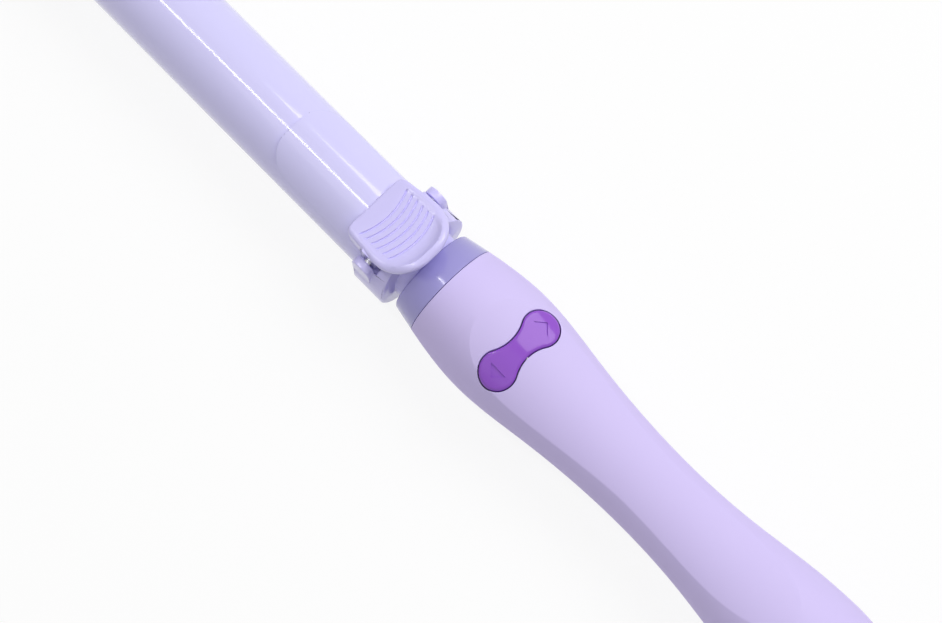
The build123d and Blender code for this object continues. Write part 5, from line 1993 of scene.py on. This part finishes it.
@dataclass
class Studio:
    """Camera, lamps, floor and background."""

    target: tuple[float, float, float] = (-0.0103, 0.0, 0.0204)
    tilt: float = 8.4
    distance: float = 0.72
    focal: float = 82.96
    across: tuple[float, float] = (-0.69191, 0.72198)
    floor_size: float = 3.0
    floor_gap: float = 0.0005
    floor_glow: float = 0.88
    sky: float = 0.25
    sensor: float = 36.0
    near: float = 0.01
    paper: tuple[float, float, float] = (0.93, 0.93, 0.93)
    paper_fade: tuple[float, float, float] = (0.94, 0.94, 0.94)
    paper_cloud: float = 60.0
    paper_roughness: float = 0.9
    paper_specular: float = 0.1
    lights: tuple[Light, ...] = ()

    def _axes(self) -> tuple[Vector, Vector, Vector]:
        """Right, up and towards the camera, in the frame.

        Returns:
            The three directions.
        """
        turn = math.radians(self.tilt)
        along = Vector((math.cos(turn), 0.0, math.sin(turn)))
        side = Vector((-math.sin(turn) ** 2, -math.cos(turn), math.sin(turn) * math.cos(turn)))
        right = (self.across[0] * along + self.across[1] * side).normalized()
        up = (self.across[1] * along - self.across[0] * side).normalized()
        toward = right.cross(up).normalized()
        return right, toward.cross(right), toward

    def camera(self) -> None:
        """Put the camera where the photograph was taken from."""
        right, up, toward = self._axes()
        bpy.ops.object.camera_add()
        camera = bpy.context.active_object
        turn = Matrix((right, up, toward)).transposed().to_4x4()
        camera.matrix_world = Matrix.Translation(Vector(self.target) + toward * self.distance) @ turn
        camera.data.sensor_fit = "HORIZONTAL"
        camera.data.sensor_width = self.sensor
        camera.data.lens = self.focal
        camera.data.clip_start = self.near
        bpy.context.scene.camera = camera

    def lamps(self) -> None:
        """Add the soft lamps, placed by the camera's own directions."""
        right, up, toward = self._axes()
        for light in self.lights:
            x, y, z = light.direction
            way = (x * right + y * up + z * toward).normalized()
            bpy.ops.object.light_add(type="AREA")
            lamp = bpy.context.active_object
            lamp.name = light.name
            lamp.data.shape = "RECTANGLE"
            lamp.data.size, lamp.data.size_y = light.size
            lamp.data.energy = light.power
            side = (light.along[0] * right + light.along[1] * up).cross(way).normalized()
            turn = Matrix((side, way.cross(side), way)).transposed().to_4x4()
            lamp.matrix_world = Matrix.Translation(Vector(self.target) + way * light.distance) @ turn

    @staticmethod
    def _seen(nodes: Nodes) -> Value:
        """Share of rays that show a thing rather than light others: 1 from the camera, gloss or glass.

        Args:
            nodes: Nodes of the thing.

        Returns:
            The share.
        """
        rays = [nodes.node("ShaderNodeLightPath", output=kind) for kind in ("Is Camera Ray", "Is Glossy Ray")]
        through = nodes.node("ShaderNodeLightPath", output="Is Transmission Ray")
        return nodes.sum_up("MINIMUM", rays[0] + rays[1] + through, 1.0)

    def _paper(self, name: str) -> bpy.types.Material:
        """Pale matt floor that looks almost plain white and keeps a faint shadow.

        Args:
            name: Name of the material.

        Returns:
            The material.
        """
        nodes = Nodes(name)
        nodes.feed("Base Color", nodes.blend(nodes.cloud(self.paper_cloud), self.paper, self.paper_fade))
        nodes.feed("Roughness", self.paper_roughness)
        nodes.feed("Specular IOR Level", self.paper_specular)
        white = nodes.node("ShaderNodeEmission", {}, {"Color": (1.0, 1.0, 1.0, 1.0), "Strength": 1.0})
        surface = nodes.surface.outputs["BSDF"]
        share = self._seen(nodes) * self.floor_glow
        mixed = nodes.node("ShaderNodeMixShader", {}, {0: share, 1: Value(nodes, surface), 2: white})
        nodes.tree.links.new(mixed.socket, nodes.tree.nodes["Material Output"].inputs["Surface"])
        return nodes.material

    def floor(self) -> None:
        """Lay the floor just under the handle."""
        bpy.ops.object.select_all(action="DESELECT")
        bpy.ops.mesh.primitive_plane_add(size=self.floor_size, location=(0, 0, -self.floor_gap))
        floor = bpy.context.active_object
        floor.name = "floor"
        floor.data.materials.append(self._paper("paper_floor"))

    def world(self) -> None:
        """White surroundings for the camera and for gloss, softer for the light they give."""
        world = bpy.data.worlds.new("surroundings")
        bpy.context.scene.world = world
        world.use_nodes = True
        nodes = Nodes.of_world(world)
        background = world.node_tree.nodes["Background"]
        background.inputs["Color"].default_value = (1.0, 1.0, 1.0, 1.0)
        level = self.sky + self._seen(nodes) * (1.0 - self.sky)
        world.node_tree.links.new(level.socket, background.inputs["Strength"])

    def build(self) -> None:
        """Set up the picture."""
        view = bpy.context.scene.view_settings
        view.view_transform = "Standard"
        self.camera()
        self.lamps()
        self.floor()
        self.world()


def dress_frame(nodes: dict[str, bpy.types.Object]) -> None:
    """Give every CAD node the finish of its slot.

    Args:
        nodes: The CAD nodes by name.
    """
    by_slot = {finish.value.slot: finish for finish in Finishes}
    for node in nodes.values():
        for slot in node.material_slots:
            slot.material = by_slot[slot.material.name.split(".")[0]].value.material()


def main() -> None:
    """Build the iron around its frame and set up the picture."""
    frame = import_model()
    studio = Studio(
        lights=(
            Light("key", (0.51, 0.49, 0.71), distance=1.2, size=(0.8, 0.8), power=9.2),
            Light("fill", (-0.2, -0.1, 1.0), distance=1.3, size=(1.0, 1.0), power=2.0),
            Light(
                "strip", (-0.48, 0.54, 1.0), distance=1.2, size=(0.06, 1.0), power=2.8, along=Studio.across
            ),
        )
    )
    studio.build()
    bench = Bench(Place.from_frame(), frame["nodes"])
    form = HandleForm()
    buttons = Buttons(form)
    pieces = Barrel().build(bench)
    pieces += TurningBase().build(bench)
    pieces += Clamp().build(bench)
    pieces += Spring().build(bench)
    pieces += Case(form).build(bench, buttons.openings(bench))
    pieces += buttons.build(bench)
    pieces += CordInlet().build(bench)
    dress_frame(frame["nodes"])
    for piece in pieces:
        piece.fit()
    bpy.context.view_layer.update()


if __name__ == "__main__":
    main()
